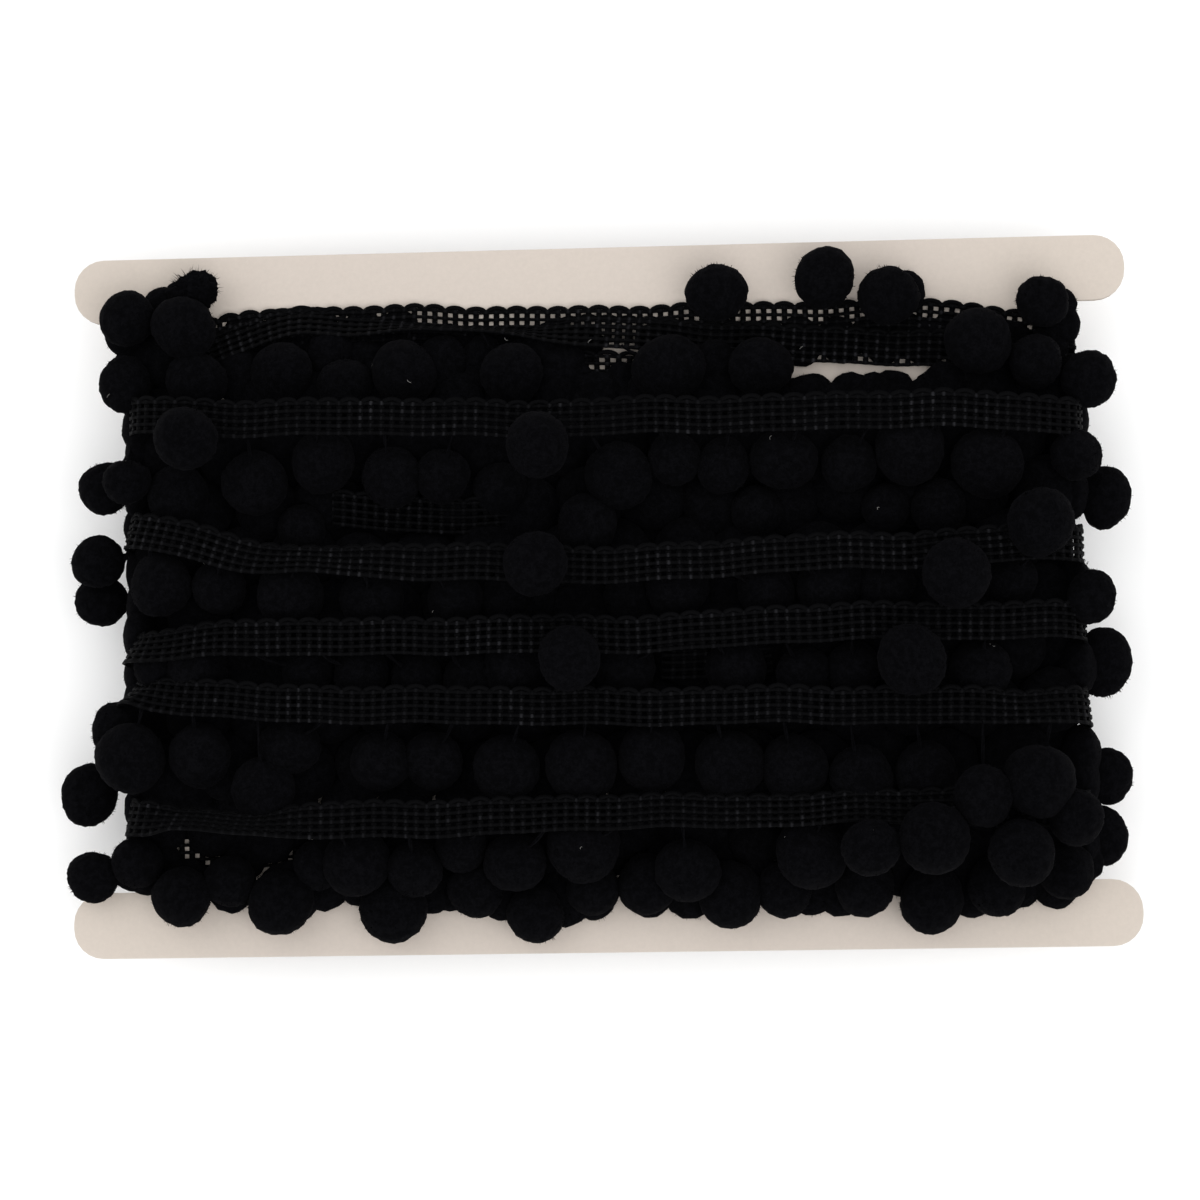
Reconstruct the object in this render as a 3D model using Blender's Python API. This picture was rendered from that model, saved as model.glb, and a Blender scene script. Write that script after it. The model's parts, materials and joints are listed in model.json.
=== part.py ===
"""Pompom fringe trim wound flat on a card.

Eight turns of trim lie round a blank card, and five of them go round an inner winding as well. Each turn is a
woven tape with a row of yarn pompoms hanging from it. The object lies on its back: X runs along
the card, Y up the card and Z away from the surface. Sizes are in millimetres, and meshes are made in metres.
"""

import math
from collections import namedtuple

import bmesh
import bpy
import numpy as np
from mathutils import Matrix, Vector

MM = 0.001
SEED = 11
GAP = 0.3  # between pieces that touch
SHIFT = 1.6  # how far the winding sits off the card's middle, along X

# Card: a long board with rounded ears past its waist at both ends of its height.
CARD_LENGTH = 267.0
CARD_HEIGHT = 178.0
CARD_THICK = 1.5
EAR_TALL = 16.5
EAR_ROUND = 7.6
WAIST_LENGTH = 227.0
WAIST_ROUND = 3.0
ARC_STEPS = 6  # straight pieces in each rounded corner

# Trim: tape with pompoms along its lower edge.
TAPE_WIDE = 8.6
TAPE_THICK = 1.2
BALL_RADIUS = 7.9
BALL_VARIES = 0.04  # share of the radius
SQUASH = 0.8  # height of a pompom pressed in the winding, over its width
ROOT_LONG = 2.4  # stretch of tape that a pompom hangs from
END_ROOM = 6.0  # from the sides of a loop to the roots of the front pompoms
SIDE_ROOT = 3.0  # from the start of a turn to the root of its left side pompom

# How finely tape and pompoms are cut.
STATION_APART = 3.4  # least between the roots of two pompoms
MARK_APART = 0.6  # least between two cross sections of the tape
BEND_STEP = 26.0  # degrees of bend from one cross section to the next
LONG_STEP = 16.0  # length of tape from one cross section to the next
BALL_SIDES = 6
FRONT_RINGS = (15.0, 58.0, 98.0, 138.0)  # degrees from the mouth
BACK_RINGS = (15.0, 75.0, 130.0)

# How the pompoms settle.
SETTLE_ROUNDS = 160
HOLD = 0.06  # how strongly a pompom is drawn to the place it would like
TAPE_STEP = 3.0  # between the places where the pompoms feel a tape

# Inner winding: one sleeve round the card's waist.
CORE_WALL = 6.0
CORE_REACH = 117.6
CORE_TOP = 45.0
CORE_FOOT = -50.0
CORE_SQUARE = 5.0
CORE_SIDES = 64
CORE_ROWS = 13
CORE_END = 0.7  # height of the sleeve's ends, over its height
LUMP_DEEP = 2.4  # hollows between the pompoms under its skin
LUMP_LONG = 8.9
LUMP_TALL = 7.3
SLOT_HALF = CARD_THICK / 2 + GAP
SLOT_REACH = WAIST_LENGTH / 2 + GAP

# Heights over the surface that the object lies on.
FLOOR_BALL_MID = 6.0  # middle of a pompom that rests on the surface
FLAT_SPOT_UNDER = 1.6  # what is lower than this on such a pompom is pressed flat
BACK_TAPE_MID = 2 * FLOOR_BALL_MID + GAP + TAPE_THICK / 2
CARD_MID = BACK_TAPE_MID + TAPE_THICK / 2 + GAP + CORE_WALL + GAP + CARD_THICK / 2
CORE_RISE = CARD_THICK / 2 + GAP + CORE_WALL

# Heights over the card's middle plane.
ON_CARD = CARD_THICK / 2 + GAP
ON_CORE = CORE_RISE + GAP
BALL_TALL = SQUASH * BALL_RADIUS
TOP_RISE = ON_CORE + 2 * BALL_TALL + GAP + TAPE_THICK / 2
CARD_RISE = ON_CARD + TAPE_THICK / 2
SECOND_RISE = CARD_RISE + TAPE_THICK + GAP
BACK_FALL = CARD_MID - BACK_TAPE_MID

# Where the front heights of a tape are given, along X.
KNOTS = (-121.0, -75.0, 0.0, 75.0, 121.0)

# One row for each turn, from the top of the card down.
# heights: middle of the tape on the front, at KNOTS.
# meets: its height where the back pass ends, on the left.
# rise, fall: how far the tape stands off the card's middle plane, in front and behind.
# reach, square: half length of its loop, and how square the loop's corners are.
# bed: height over the card's middle plane of what the front pompoms lie on.
# first, pitch: where the front pompoms hang from the tape, along X.
# front: the front pompoms by number, each as its place across and up, and its width.
# up, over: numbers of the front pompoms that are thrown up over the card, or lie on the tape.
# sides: pompoms at the card's sides, each as across, up, height over the card's middle plane, and width.
# behind: pompoms on the back.
Turn = namedtuple(
    "Turn", "name heights meets rise fall reach square bed first pitch front up over sides behind"
)
TURNS = (
    Turn("turn_1", (65.8, 70.8, 68.9, 69.2, 64.4), 58.4, CARD_RISE, CARD_RISE, 116.8, 24.0, ON_CARD,
         -117.2, 17.7,
         {0: (-118, 72, 14), 1: (-101, 79, 10), 8: (31, 75, 15), 10: (58, 78, 15), 11: (74, 73.5, 15),
          13: (112, 71, 13)},
         (0, 1, 8, 10, 11, 13), (), (), 0),
    Turn("turn_2", (58.9, 69.1, 67.2, 61.9, 57.0), 46.3, SECOND_RISE, BACK_FALL, 118.6, 24.0, ON_CARD,
         -117.5, 17.8,
         {0: (-103, 69, 16), 1: (-101, 57, 15), 2: (-79, 58, 15), 3: (-63, 54, 14), 4: (-48, 57, 16),
          5: (-21, 56, 16), 7: (19, 57, 17), 9: (42, 57, 15), 12: (96, 61, 17), 13: (110, 56, 13)},
         (), (0, 12, 13), ((-119, 53, 9, 12), (123, 50, 9, 13)), 12),
    Turn("turn_3", (46.3, 44.2, 42.5, 42.9, 41.5), 18.0, TOP_RISE, BACK_FALL, 119.0, 5.5, ON_CORE,
         -102.4, 17.0,
         {0: (-100, 39, 15), 1: (-85, 29, 15), 2: (-68, 34, 15), 3: (-51, 30, 14), 4: (-38, 30, 13),
          5: (-13, 35, 15), 6: (6, 29, 16), 7: (20, 33, 13), 8: (32, 31, 13), 9: (47, 32, 15),
          10: (63, 31, 13), 11: (78, 34, 16), 12: (97, 30, 16), 13: (119, 32, 12)},
         (), (0, 5), ((-127, 29, 0, 13), (-119, 30, 13, 11), (128, 22, 0, 12)), 12),
    Turn("turn_4", (18.0, 8.8, 6.1, 8.4, 10.0), -11.5, TOP_RISE, BACK_FALL, 119.0, 5.5, ON_CORE,
         -110.0, 18.0,
         {0: (-109, 4, 15), 1: (-94, 3, 13), 2: (-76, 1, 16), 3: (-56, -1, 14), 4: (-35, -1, 13),
          5: (-14, 6, 15), 6: (-2, 17, 14), 7: (20, 1, 14), 8: (42, 0, 13), 9: (58, 1, 15),
          10: (72, 1, 13), 11: (88, 2, 16), 12: (102, 1, 12), 13: (109, 14, 16)},
         (6, 13), (5, 11, 13), ((-127, 11, 4, 13), (-128, 2, -4, 13), (121, -2, 14, 11)), 12),
    Turn("turn_5", (-11.5, -10.3, -11.0, -9.0, -9.6), -22.8, TOP_RISE, BACK_FALL, 119.0, 5.5, ON_CORE,
         -116.8, 16.3,
         {0: (-110, -16, 11), 1: (-100, -17, 14), 2: (-72, -18, 12), 3: (-59, -19, 13),
          4: (-45, -20, 12), 5: (-32, -21, 12), 6: (-20, -18, 15), 7: (-6, -17, 14), 8: (7, -19, 14),
          9: (34, -19, 14), 10: (51, -21, 13), 11: (63, -20, 12), 12: (77, -19, 16), 13: (94, -21, 15)},
         (), (7, 12), ((128.4, -19, 0, 13.6),), 12),
    Turn("turn_6", (-22.8, -26.8, -28.7, -29.5, -30.6), -52.0, TOP_RISE, BACK_FALL, 119.0, 5.5, ON_CORE,
         -115.3, 16.1,
         {0: (-117, -38, 16), 1: (-99, -39, 15), 2: (-83, -47, 15), 3: (-77, -37, 14), 4: (-54, -41, 14),
          5: (-41, -41, 13), 6: (-23, -43, 16), 7: (-4, -43, 17), 8: (13, -41, 16), 9: (32, -43, 16),
          10: (48, -44, 15), 11: (64, -47, 15), 12: (80, -46, 14), 13: (93, -52, 14), 14: (107, -49, 16)},
         (), (13, 14), ((-129.4, -46, -3, 13.6), (-122, -33, 9, 12), (128, -47, 0, 12)), 12),
    Turn("turn_7", (-52.0, -54.7, -54.1, -54.3, -55.2), -61.0, TOP_RISE, BACK_FALL, 119.0, 5.5, ON_CORE,
         -62.8, 16.7,
         {0: (-60, -66, 15), 1: (-46, -68, 13), 2: (-34, -62, 12), 3: (-21, -66, 14), 4: (-4, -63, 17),
          5: (21, -69, 15), 7: (51, -66, 17), 8: (66, -64, 13), 9: (81, -62, 16), 10: (102, -66, 15),
          11: (115, -57, 13)},
         (), (8, 9, 10, 11), ((127, -62, 0, 11),), 12),
    Turn("turn_8", (-62.4, -62.0, -63.5, -63.5, -63.0), -66.0, CARD_RISE, CARD_RISE, 116.8, 24.0, ON_CARD,
         -115.9, 15.2,
         {0: (-118, -65, 13), 1: (-105, -70, 13), 2: (-93, -67, 13), 3: (-80, -74, 16), 4: (-72, -67, 13),
          5: (-52, -75, 16), 6: (-32, -72, 14), 7: (-16, -79, 15), 8: (-2, -73, 13), 9: (12, -72, 14),
          10: (32, -75, 16), 11: (46, -73, 14), 12: (65, -73, 15), 13: (81, -77, 16), 14: (97, -74, 14),
          15: (114, -70, 14)},
         (), (0, 1, 2, 4, 6, 8, 9, 11, 12, 14, 15), ((-129, -70, 6, 12),), 0),
)

# Pompoms of the inner winding that show: place across and up, and width.
INNER_POMPOMS = (
    (-105, 27, 15), (-74, 18, 12), (-24, 27, 13), (40, 20, 13), (72, 20, 12), (85, 20, 14),
    (-23, -1, 13), (8, -1, 13),
)
INNER_SUNK = 3.0

BACK_SQUARE = 7.0  # the loops' corners behind, at the least
BACK_FIRST = 100.0
BACK_PITCH = 17.8
BACK_DROP = 13.0
DROP_VARIES = 1.5
PLACE_VARIES = 1.5

Pompom = namedtuple("Pompom", "owner at edge kind")


def clear_scene():
    for item in list(bpy.data.objects):
        bpy.data.objects.remove(item)


def make_material(name, colour, roughness):
    material = bpy.data.materials.new(name)
    material.use_nodes = True
    shader = material.node_tree.nodes["Principled BSDF"]
    shader.inputs["Base Color"].default_value = (*colour, 1.0)
    shader.inputs["Roughness"].default_value = roughness
    shader.inputs["Metallic"].default_value = 0.0
    return material


def face_out(bm):
    bmesh.ops.recalc_face_normals(bm, faces=bm.faces[:])
    if bm.calc_volume(signed=True) < 0:
        bmesh.ops.reverse_faces(bm, faces=bm.faces[:])


def add_object(name, bm, material, collection):
    """A mesh object from a bmesh in millimetres."""
    face_out(bm)
    bmesh.ops.scale(bm, vec=(MM, MM, MM), verts=bm.verts[:])
    mesh = bpy.data.meshes.new(name)
    bm.to_mesh(mesh)
    bm.free()
    mesh.materials.append(material)
    thing = bpy.data.objects.new(name, mesh)
    collection.objects.link(thing)
    return thing


def smooth_between(x, knots, values):
    """Values at x, eased from knot to knot."""
    spot = np.interp(x, knots, np.arange(len(knots)))
    whole = np.minimum(np.floor(spot), len(knots) - 2).astype(int)
    part = spot - whole
    eased = part * part * (3 - 2 * part)
    values = np.asarray(values)
    return values[whole] * (1 - eased) + values[whole + 1] * eased


class Path:
    """The middle line of a turn's tape, from the card's left side over the front and round the back."""

    STEPS = 1440

    def __init__(self, turn):
        angle = np.linspace(math.pi, -math.pi, self.STEPS + 1)
        power = np.where(angle >= 0, 2 / turn.square, 2 / max(turn.square, BACK_SQUARE))
        across, up = np.cos(angle), np.sin(angle)
        self.x = SHIFT + turn.reach * np.sign(across) * np.abs(across) ** power
        lift = np.sign(up) * np.abs(up) ** power
        self.z = CARD_MID + np.where(lift > 0, turn.rise, turn.fall) * lift
        front = smooth_between(self.x, KNOTS, turn.heights)
        share = (SHIFT + turn.reach - self.x) / (2 * turn.reach)
        back = turn.heights[-1] + (turn.meets - turn.heights[-1]) * share
        self.y = np.where(angle >= 0, front, back)
        step = np.hypot(np.diff(self.x), np.diff(self.z))
        self.s = np.concatenate([[0.0], np.cumsum(step)])
        self.length = self.s[-1]
        self.half = self.s[self.STEPS // 2]

    def point(self, s):
        return np.array([np.interp(s, self.s, line) for line in (self.x, self.y, self.z)])

    def frame(self, s):
        """Middle, direction, width direction and outward direction of the tape."""
        near = 0.4
        ahead = self.point(min(s + near, self.length)) - self.point(max(s - near, 0.0))
        along = ahead / np.linalg.norm(ahead)
        wide = np.array([0.0, 1.0, 0.0]) - along[1] * along
        wide /= np.linalg.norm(wide)
        out = np.cross(wide, along)
        return self.point(s), along, wide, out

    def front_at(self, x):
        half = self.STEPS // 2
        return float(np.interp(x, self.x[: half + 1], self.s[: half + 1]))

    def back_at(self, x):
        half = self.STEPS // 2
        return float(np.interp(-x, -self.x[half:], self.s[half:]))


def lay_out(paths):
    """Where each pompom hangs from, where it would like to lie, and its radius."""
    rng = np.random.default_rng(SEED)
    pompoms, goals, radii = [], [], []

    def add(pompom, goal, radius):
        pompoms.append(pompom)
        goals.append(goal)
        radii.append(radius)

    for number, (turn, path) in enumerate(zip(TURNS, paths)):
        for k, (x, y, width) in turn.front.items():
            room = turn.reach - END_ROOM
            root_x = np.clip(turn.first + turn.pitch * k, SHIFT - room, SHIFT + room)
            at = path.front_at(root_x)
            half_tall = SQUASH * width / 2
            if k in turn.over:
                mid = path.point(at)[2] + TAPE_THICK + half_tall
            elif k in turn.up and turn.bed == ON_CARD:
                mid = CARD_MID + SECOND_RISE + TAPE_THICK / 2 + GAP + half_tall
            else:
                mid = CARD_MID + turn.bed + half_tall
            edge = 1 if k in turn.up else -1
            add(Pompom(number, at, edge, "front"), (x, y, mid), width / 2)
        for x, y, rise, width in turn.sides:
            at = path.half if x > 0 else SIDE_ROOT
            add(Pompom(number, at, -1, "side"), (x, y, CARD_MID + rise), width / 2)
        for k in range(turn.behind):
            x = BACK_FIRST - BACK_PITCH * (k + 0.5 * (number % 2))
            across, up, size = rng.uniform(-1, 1, 3)
            at = path.back_at(x)
            y = path.point(at)[1] - BACK_DROP + DROP_VARIES * up
            goal = (x + PLACE_VARIES * across, y, FLOOR_BALL_MID)
            add(Pompom(number, at, -1, "back"), goal, BALL_RADIUS * (1 + BALL_VARIES * size))
    for x, y, width in INNER_POMPOMS:
        goal = (x, y, CARD_MID + CORE_RISE + SQUASH * width / 2)
        add(Pompom(None, None, -1, "inner"), goal, width / 2)
    return pompoms, np.array(goals), np.array(radii)


def push_off_boxes(spots, radii, boxes):
    """Moves each ball out of solid boxes, each a middle and half sizes."""
    for middle, half in boxes:
        away = spots - middle
        nearest = np.clip(away, -half, half)
        gap = away - nearest
        reach = np.linalg.norm(gap, axis=1)
        short = radii + GAP - reach
        hit = (short > 0) & (reach > 1e-6)
        spots[hit] += gap[hit] / reach[hit, None] * short[hit, None]
        inside = reach <= 1e-6
        lift = np.sign(away[inside, 2]) * (half[2] + radii[inside] + GAP) - away[inside, 2]
        spots[inside, 2] += lift


def push_off_tapes(spots, radii, tape):
    """Moves each ball off the tapes, given as middles, directions, widths and outward directions."""
    middles, along, wide, out = tape
    half_wide = TAPE_WIDE / 2
    half_thick = TAPE_THICK / 2
    reach = BALL_RADIUS + half_wide + TAPE_THICK
    for i, spot in enumerate(spots):
        away = spot - middles
        near = np.einsum("ij,ij->i", away, away) < reach * reach
        if not near.any():
            continue
        away = away[near]
        ahead = np.abs(np.einsum("ij,ij->i", away, along[near]))
        w = np.einsum("ij,ij->i", away, wide[near])
        t = np.einsum("ij,ij->i", away, out[near])
        gap_w = w - np.clip(w, -half_wide, half_wide)
        gap_t = t - np.clip(t, -half_thick, half_thick)
        gap = np.hypot(gap_w, gap_t)
        short = np.where(ahead < TAPE_STEP, radii[i] + GAP - gap, 0.0)
        worst = int(np.argmax(short))
        if short[worst] > 0:
            push = gap_w[worst] * wide[near][worst] + gap_t[worst] * out[near][worst]
            size = max(gap[worst], 1e-6)
            spots[i] += push / size * short[worst]


def settle(paths, pompoms, goals, radii):
    """Pushes the pompoms off each other, the card, the inner winding and the tapes.

    Heights are stretched so that the pressed pompoms are round while this runs.
    """
    stretch = np.array([1.0, 1.0, 1 / SQUASH])
    frames = [path.frame(s) for path in paths for s in np.arange(TAPE_STEP, path.length, TAPE_STEP)]
    tape = tuple(np.array(part) for part in zip(*frames))
    tape = (tape[0] * stretch, *tape[1:])
    middle = np.array([0.0, 0.0, CARD_MID]) * stretch
    strip = (CARD_HEIGHT - 2 * EAR_TALL) / 2
    core_mid = np.array([SHIFT, (CORE_TOP + CORE_FOOT) / 2, CARD_MID]) * stretch
    core_half = np.array([CORE_REACH, (CORE_TOP - CORE_FOOT) / 2, CORE_RISE]) * stretch
    waist_half = np.array([WAIST_LENGTH / 2, strip, CARD_THICK / 2]) * stretch
    strip_half = np.array([CARD_LENGTH / 2, EAR_TALL / 2, CARD_THICK / 2]) * stretch
    boxes = [(core_mid, core_half), (middle, waist_half)]
    for end in (-1, 1):
        boxes.append((middle + np.array([0.0, end * (strip + EAR_TALL / 2), 0.0]), strip_half))
    spots = goals * stretch
    wanted = spots.copy()
    kinds = np.array([pompom.kind for pompom in pompoms])
    back = kinds == "back"
    inner = kinds == "inner"
    count = len(spots)
    first, second = np.triu_indices(count, 1)
    for _ in range(SETTLE_ROUNDS):
        spots += HOLD * (wanted - spots)
        push_off_boxes(spots, radii, boxes)
        push_off_tapes(spots, radii, tape)
        away = spots[second] - spots[first]
        reach = np.linalg.norm(away, axis=1)
        short = radii[first] + radii[second] + GAP - reach
        hit = short > 0
        shove = away[hit] / np.maximum(reach[hit], 1e-6)[:, None] * (0.5 * short[hit])[:, None]
        np.add.at(spots, first[hit], -shove)
        np.add.at(spots, second[hit], shove)
        spots[back, 2] = wanted[back, 2]
        spots[inner, 2] = wanted[inner, 2]
        spots[:, 2] = np.maximum(spots[:, 2], wanted[back, 2].min())
    return spots / stretch


def fit_radii(spots, radii):
    """Radii that leave every pompom a little apart from its neighbours."""
    level = spots * np.array([1.0, 1.0, 1 / SQUASH])
    first, second = np.triu_indices(len(spots), 1)
    reach = np.linalg.norm(level[first] - level[second], axis=1)
    room = (reach - GAP) / (radii[first] + radii[second])
    share = np.ones(len(spots))
    np.minimum.at(share, first, room)
    np.minimum.at(share, second, room)
    return radii * share


def add_ball(bm, spot, radius, towards, rings, on_floor):
    """A pompom with a small mouth that faces the tape, and the edges round that mouth."""
    axis = Vector(towards)
    if on_floor:
        axis.z = 0.0
    axis.normalize()
    side = axis.cross(Vector((0.0, 0.0, 1.0)))
    side.normalize()
    half_step = Matrix.Rotation(math.pi / BALL_SIDES, 3, "Z")  # so that a flat side faces down
    turn = Matrix((side, axis.cross(side), axis)).transposed() @ half_step
    made = bmesh.ops.create_uvsphere(bm, u_segments=BALL_SIDES, v_segments=len(rings) + 1, radius=1.0)
    verts = made["verts"]
    heights = sorted({round(v.co.z, 3) for v in verts}, reverse=True)
    mouth = []
    pole = None
    for v in verts:
        row = heights.index(round(v.co.z, 3))
        if row == 0:
            pole = v
            continue
        if row <= len(rings):
            angle = math.radians(rings[row - 1])
            flat = Vector((v.co.x, v.co.y, 0.0)).normalized()
            v.co = flat * math.sin(angle)
            v.co.z = math.cos(angle)
        if row == 1:
            mouth.append(v)
    mouth.sort(key=lambda v: math.atan2(v.co.y, v.co.x), reverse=True)
    kept = [v for v in verts if v is not pole]
    bmesh.ops.delete(bm, geom=[pole], context="VERTS")
    for v in kept:
        v.co = turn @ v.co * radius
        v.co.z *= SQUASH
    if on_floor:
        lowest = min(v.co.z for v in kept)
        for v in kept:
            v.co.z *= -spot[2] / lowest
            if v.co.z + spot[2] < FLAT_SPOT_UNDER:
                v.co.z = -spot[2]
    for v in kept:
        v.co += Vector(spot)
    return mouth


def join_loops(bm, root, mouth):
    """The short neck between a hole in the tape's edge and a pompom's mouth, as triangles."""

    def span(shift):
        return sum((v.co - mouth[(shift + k * len(mouth) // len(root)) % len(mouth)].co).length
                   for k, v in enumerate(root))

    shift = min(range(len(mouth)), key=span)
    mouth = mouth[shift:] + mouth[:shift]
    i = j = 0
    while i < len(root) or j < len(mouth):
        here, there = root[i % len(root)], mouth[j % len(mouth)]
        if (i + 1) / len(root) <= (j + 1) / len(mouth):
            bm.faces.new((here, root[(i + 1) % len(root)], there))
            i += 1
        else:
            bm.faces.new((mouth[(j + 1) % len(mouth)], there, here))
            j += 1


def spread(stations):
    """The roots in order along the tape, none too near the next."""
    order = sorted(range(len(stations)), key=lambda k: stations[k])
    placed = list(stations)
    for before, after in zip(order, order[1:]):
        placed[after] = max(placed[after], placed[before] + STATION_APART)
    return placed


def tape_marks(path, stations):
    """Where the tape has a cross section: at both sides of each root, where it bends, and between."""
    start, end = GAP / 2, path.length - GAP / 2
    marks = [start, end]
    for at in stations:
        marks += [at - ROOT_LONG / 2, at + ROOT_LONG / 2]

    def add(s, room):
        in_root = any(abs(s - at) < ROOT_LONG / 2 + MARK_APART for at in stations)
        if not in_root and min(abs(s - mark) for mark in marks) > room:
            marks.append(float(s))

    heading = np.unwrap(np.arctan2(np.diff(path.z), np.diff(path.x)))
    bends = np.floor(np.abs(heading - heading[0]) / math.radians(BEND_STEP))
    for k in np.flatnonzero(np.diff(bends) != 0):
        add(path.s[k + 1], MARK_APART)
    for s in np.arange(start + LONG_STEP, end, LONG_STEP):
        add(s, 0.45 * LONG_STEP)
    return sorted(marks)


def make_tape(bm, path, marks):
    """A ribbon along the path, and its vertices by section, edge and face."""
    last = len(marks) - 1
    bmesh.ops.create_grid(bm, x_segments=last, y_segments=1, size=1.0)
    frames = [path.frame(s) for s in marks]
    corner = {}
    for v in bm.verts:
        row = round((v.co.x + 1) / 2 * last)
        edge = 1 if v.co.y > 0 else -1
        corner[row, edge, 1] = v
    raised = bmesh.ops.extrude_face_region(bm, geom=bm.faces[:])
    for v in [part for part in raised["geom"] if isinstance(part, bmesh.types.BMVert)]:
        row = round((v.co.x + 1) / 2 * last)
        edge = 1 if v.co.y > 0 else -1
        corner[row, edge, -1] = v
    for (row, edge, face), v in corner.items():
        middle, _, wide, out = frames[row]
        v.co = Vector(middle + edge * TAPE_WIDE / 2 * wide + face * TAPE_THICK / 2 * out)
    face_out(bm)
    return corner


def root_face(corner, row, edge):
    """The narrow face at the tape's edge that a pompom hangs from."""
    wanted = {corner[row + step, edge, face] for step in (0, 1) for face in (-1, 1)}
    for face in corner[row, edge, 1].link_faces:
        if set(face.verts) == wanted:
            return face
    raise ValueError("no face there")


def build_turn(number, path, pompoms, spots, radii, material, collection):
    mine = [k for k, pompom in enumerate(pompoms) if pompom.owner == number]
    stations = spread([pompoms[k].at for k in mine])
    marks = tape_marks(path, stations)
    bm = bmesh.new()
    corner = make_tape(bm, path, marks)
    for k, at in zip(mine, stations):
        row = min(range(len(marks)), key=lambda m: abs(marks[m] - (at - ROOT_LONG / 2)))
        root = root_face(corner, row, pompoms[k].edge)
        middle = np.array(root.calc_center_median())
        on_floor = pompoms[k].kind == "back"
        rings = BACK_RINGS if on_floor else FRONT_RINGS
        hole = root.verts[:]
        bmesh.ops.delete(bm, geom=[root], context="FACES_ONLY")
        mouth = add_ball(bm, spots[k], radii[k], middle - spots[k], rings, on_floor)
        join_loops(bm, hole, mouth)
    return add_object(TURNS[number].name, bm, material, collection)


def fillet(before, corner, after, radius, steps):
    """Points of the arc that rounds a corner."""
    a, b, c = (Vector(p) for p in (before, corner, after))
    into, out = (a - b).normalized(), (c - b).normalized()
    half = into.angle(out) / 2
    middle = b + (into + out).normalized() * radius / math.sin(half)
    start = b + into * radius / math.tan(half) - middle
    end = b + out * radius / math.tan(half) - middle
    sweep = start.angle_signed(end)
    for k in range(steps + 1):
        turned = Matrix.Rotation(-sweep * k / steps, 2) @ start
        yield tuple(middle + turned)


def build_card(material, collection):
    ear, waist = CARD_LENGTH / 2, WAIST_LENGTH / 2
    top, under = CARD_HEIGHT / 2, CARD_HEIGHT / 2 - EAR_TALL
    side = [(ear, top, EAR_ROUND), (ear, under, EAR_ROUND), (waist, under, WAIST_ROUND)]
    corners = side + [(x, -y, r) for x, y, r in reversed(side)]
    corners += [(-x, -y, r) for x, y, r in corners]
    outline = []
    for k, (x, y, radius) in enumerate(corners):
        before, after = corners[k - 1][:2], corners[(k + 1) % len(corners)][:2]
        outline += fillet(before, (x, y), after, radius, ARC_STEPS)
    curve = bpy.data.curves.new("card", "CURVE")
    curve.dimensions = "2D"
    curve.fill_mode = "BOTH"
    curve.extrude = CARD_THICK / 2 * MM
    line = curve.splines.new("POLY")
    line.points.add(len(outline) - 1)
    for point, (x, y) in zip(line.points, outline):
        point.co = (x * MM, y * MM, 0.0, 1.0)
    line.use_cyclic_u = True
    drawn = bpy.data.objects.new("card_outline", curve)
    drawn.location.z = CARD_MID * MM
    collection.objects.link(drawn)
    return curve_to_mesh(drawn, "card", material, collection)


def curve_to_mesh(drawn, name, material, collection):
    bpy.context.view_layer.update()
    seen = drawn.evaluated_get(bpy.context.evaluated_depsgraph_get())
    mesh = bpy.data.meshes.new_from_object(seen)
    mesh.name = name
    bm = bmesh.new()
    bm.from_mesh(mesh)
    bmesh.ops.remove_doubles(bm, verts=bm.verts[:], dist=1e-6)
    bmesh.ops.recalc_face_normals(bm, faces=bm.faces[:])
    bm.to_mesh(mesh)
    bm.free()
    mesh.materials.clear()
    mesh.materials.append(material)
    thing = bpy.data.objects.new(name, mesh)
    thing.matrix_world = drawn.matrix_world
    collection.objects.link(thing)
    bpy.data.objects.remove(drawn)
    return thing


def superellipse(angle, across, up, square):
    power = 2 / square
    c, s = math.cos(angle), math.sin(angle)
    return math.copysign(abs(c) ** power, c) * across, math.copysign(abs(s) ** power, s) * up


def add_sleeve(bm):
    """A round sleeve along Z from -0.5 to 0.5, of radius 1 outside and 0.5 inside, in one closed surface."""
    bmesh.ops.create_cone(bm, segments=CORE_SIDES, radius1=1.0, radius2=1.0, depth=1.0, cap_ends=False)
    long_edges = [e for e in bm.edges if abs(e.verts[0].co.z - e.verts[1].co.z) > 0.5]
    bmesh.ops.subdivide_edges(bm, edges=long_edges, cuts=CORE_ROWS - 1)
    rim = [e for e in bm.edges if all(v.co.z > 0.49 for v in e.verts)]
    for radius, z in ((0.5, 0.5), (0.5, -0.5), (1.0, -0.5)):
        drawn = bmesh.ops.extrude_edge_only(bm, edges=rim)["geom"]
        rim = [part for part in drawn if isinstance(part, bmesh.types.BMEdge)]
        for v in {v for e in rim for v in e.verts}:
            flat = Vector((v.co.x, v.co.y, 0.0)).normalized() * radius
            v.co = flat + Vector((0.0, 0.0, z))
    bmesh.ops.remove_doubles(bm, verts=bm.verts[:], dist=1e-4)


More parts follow.
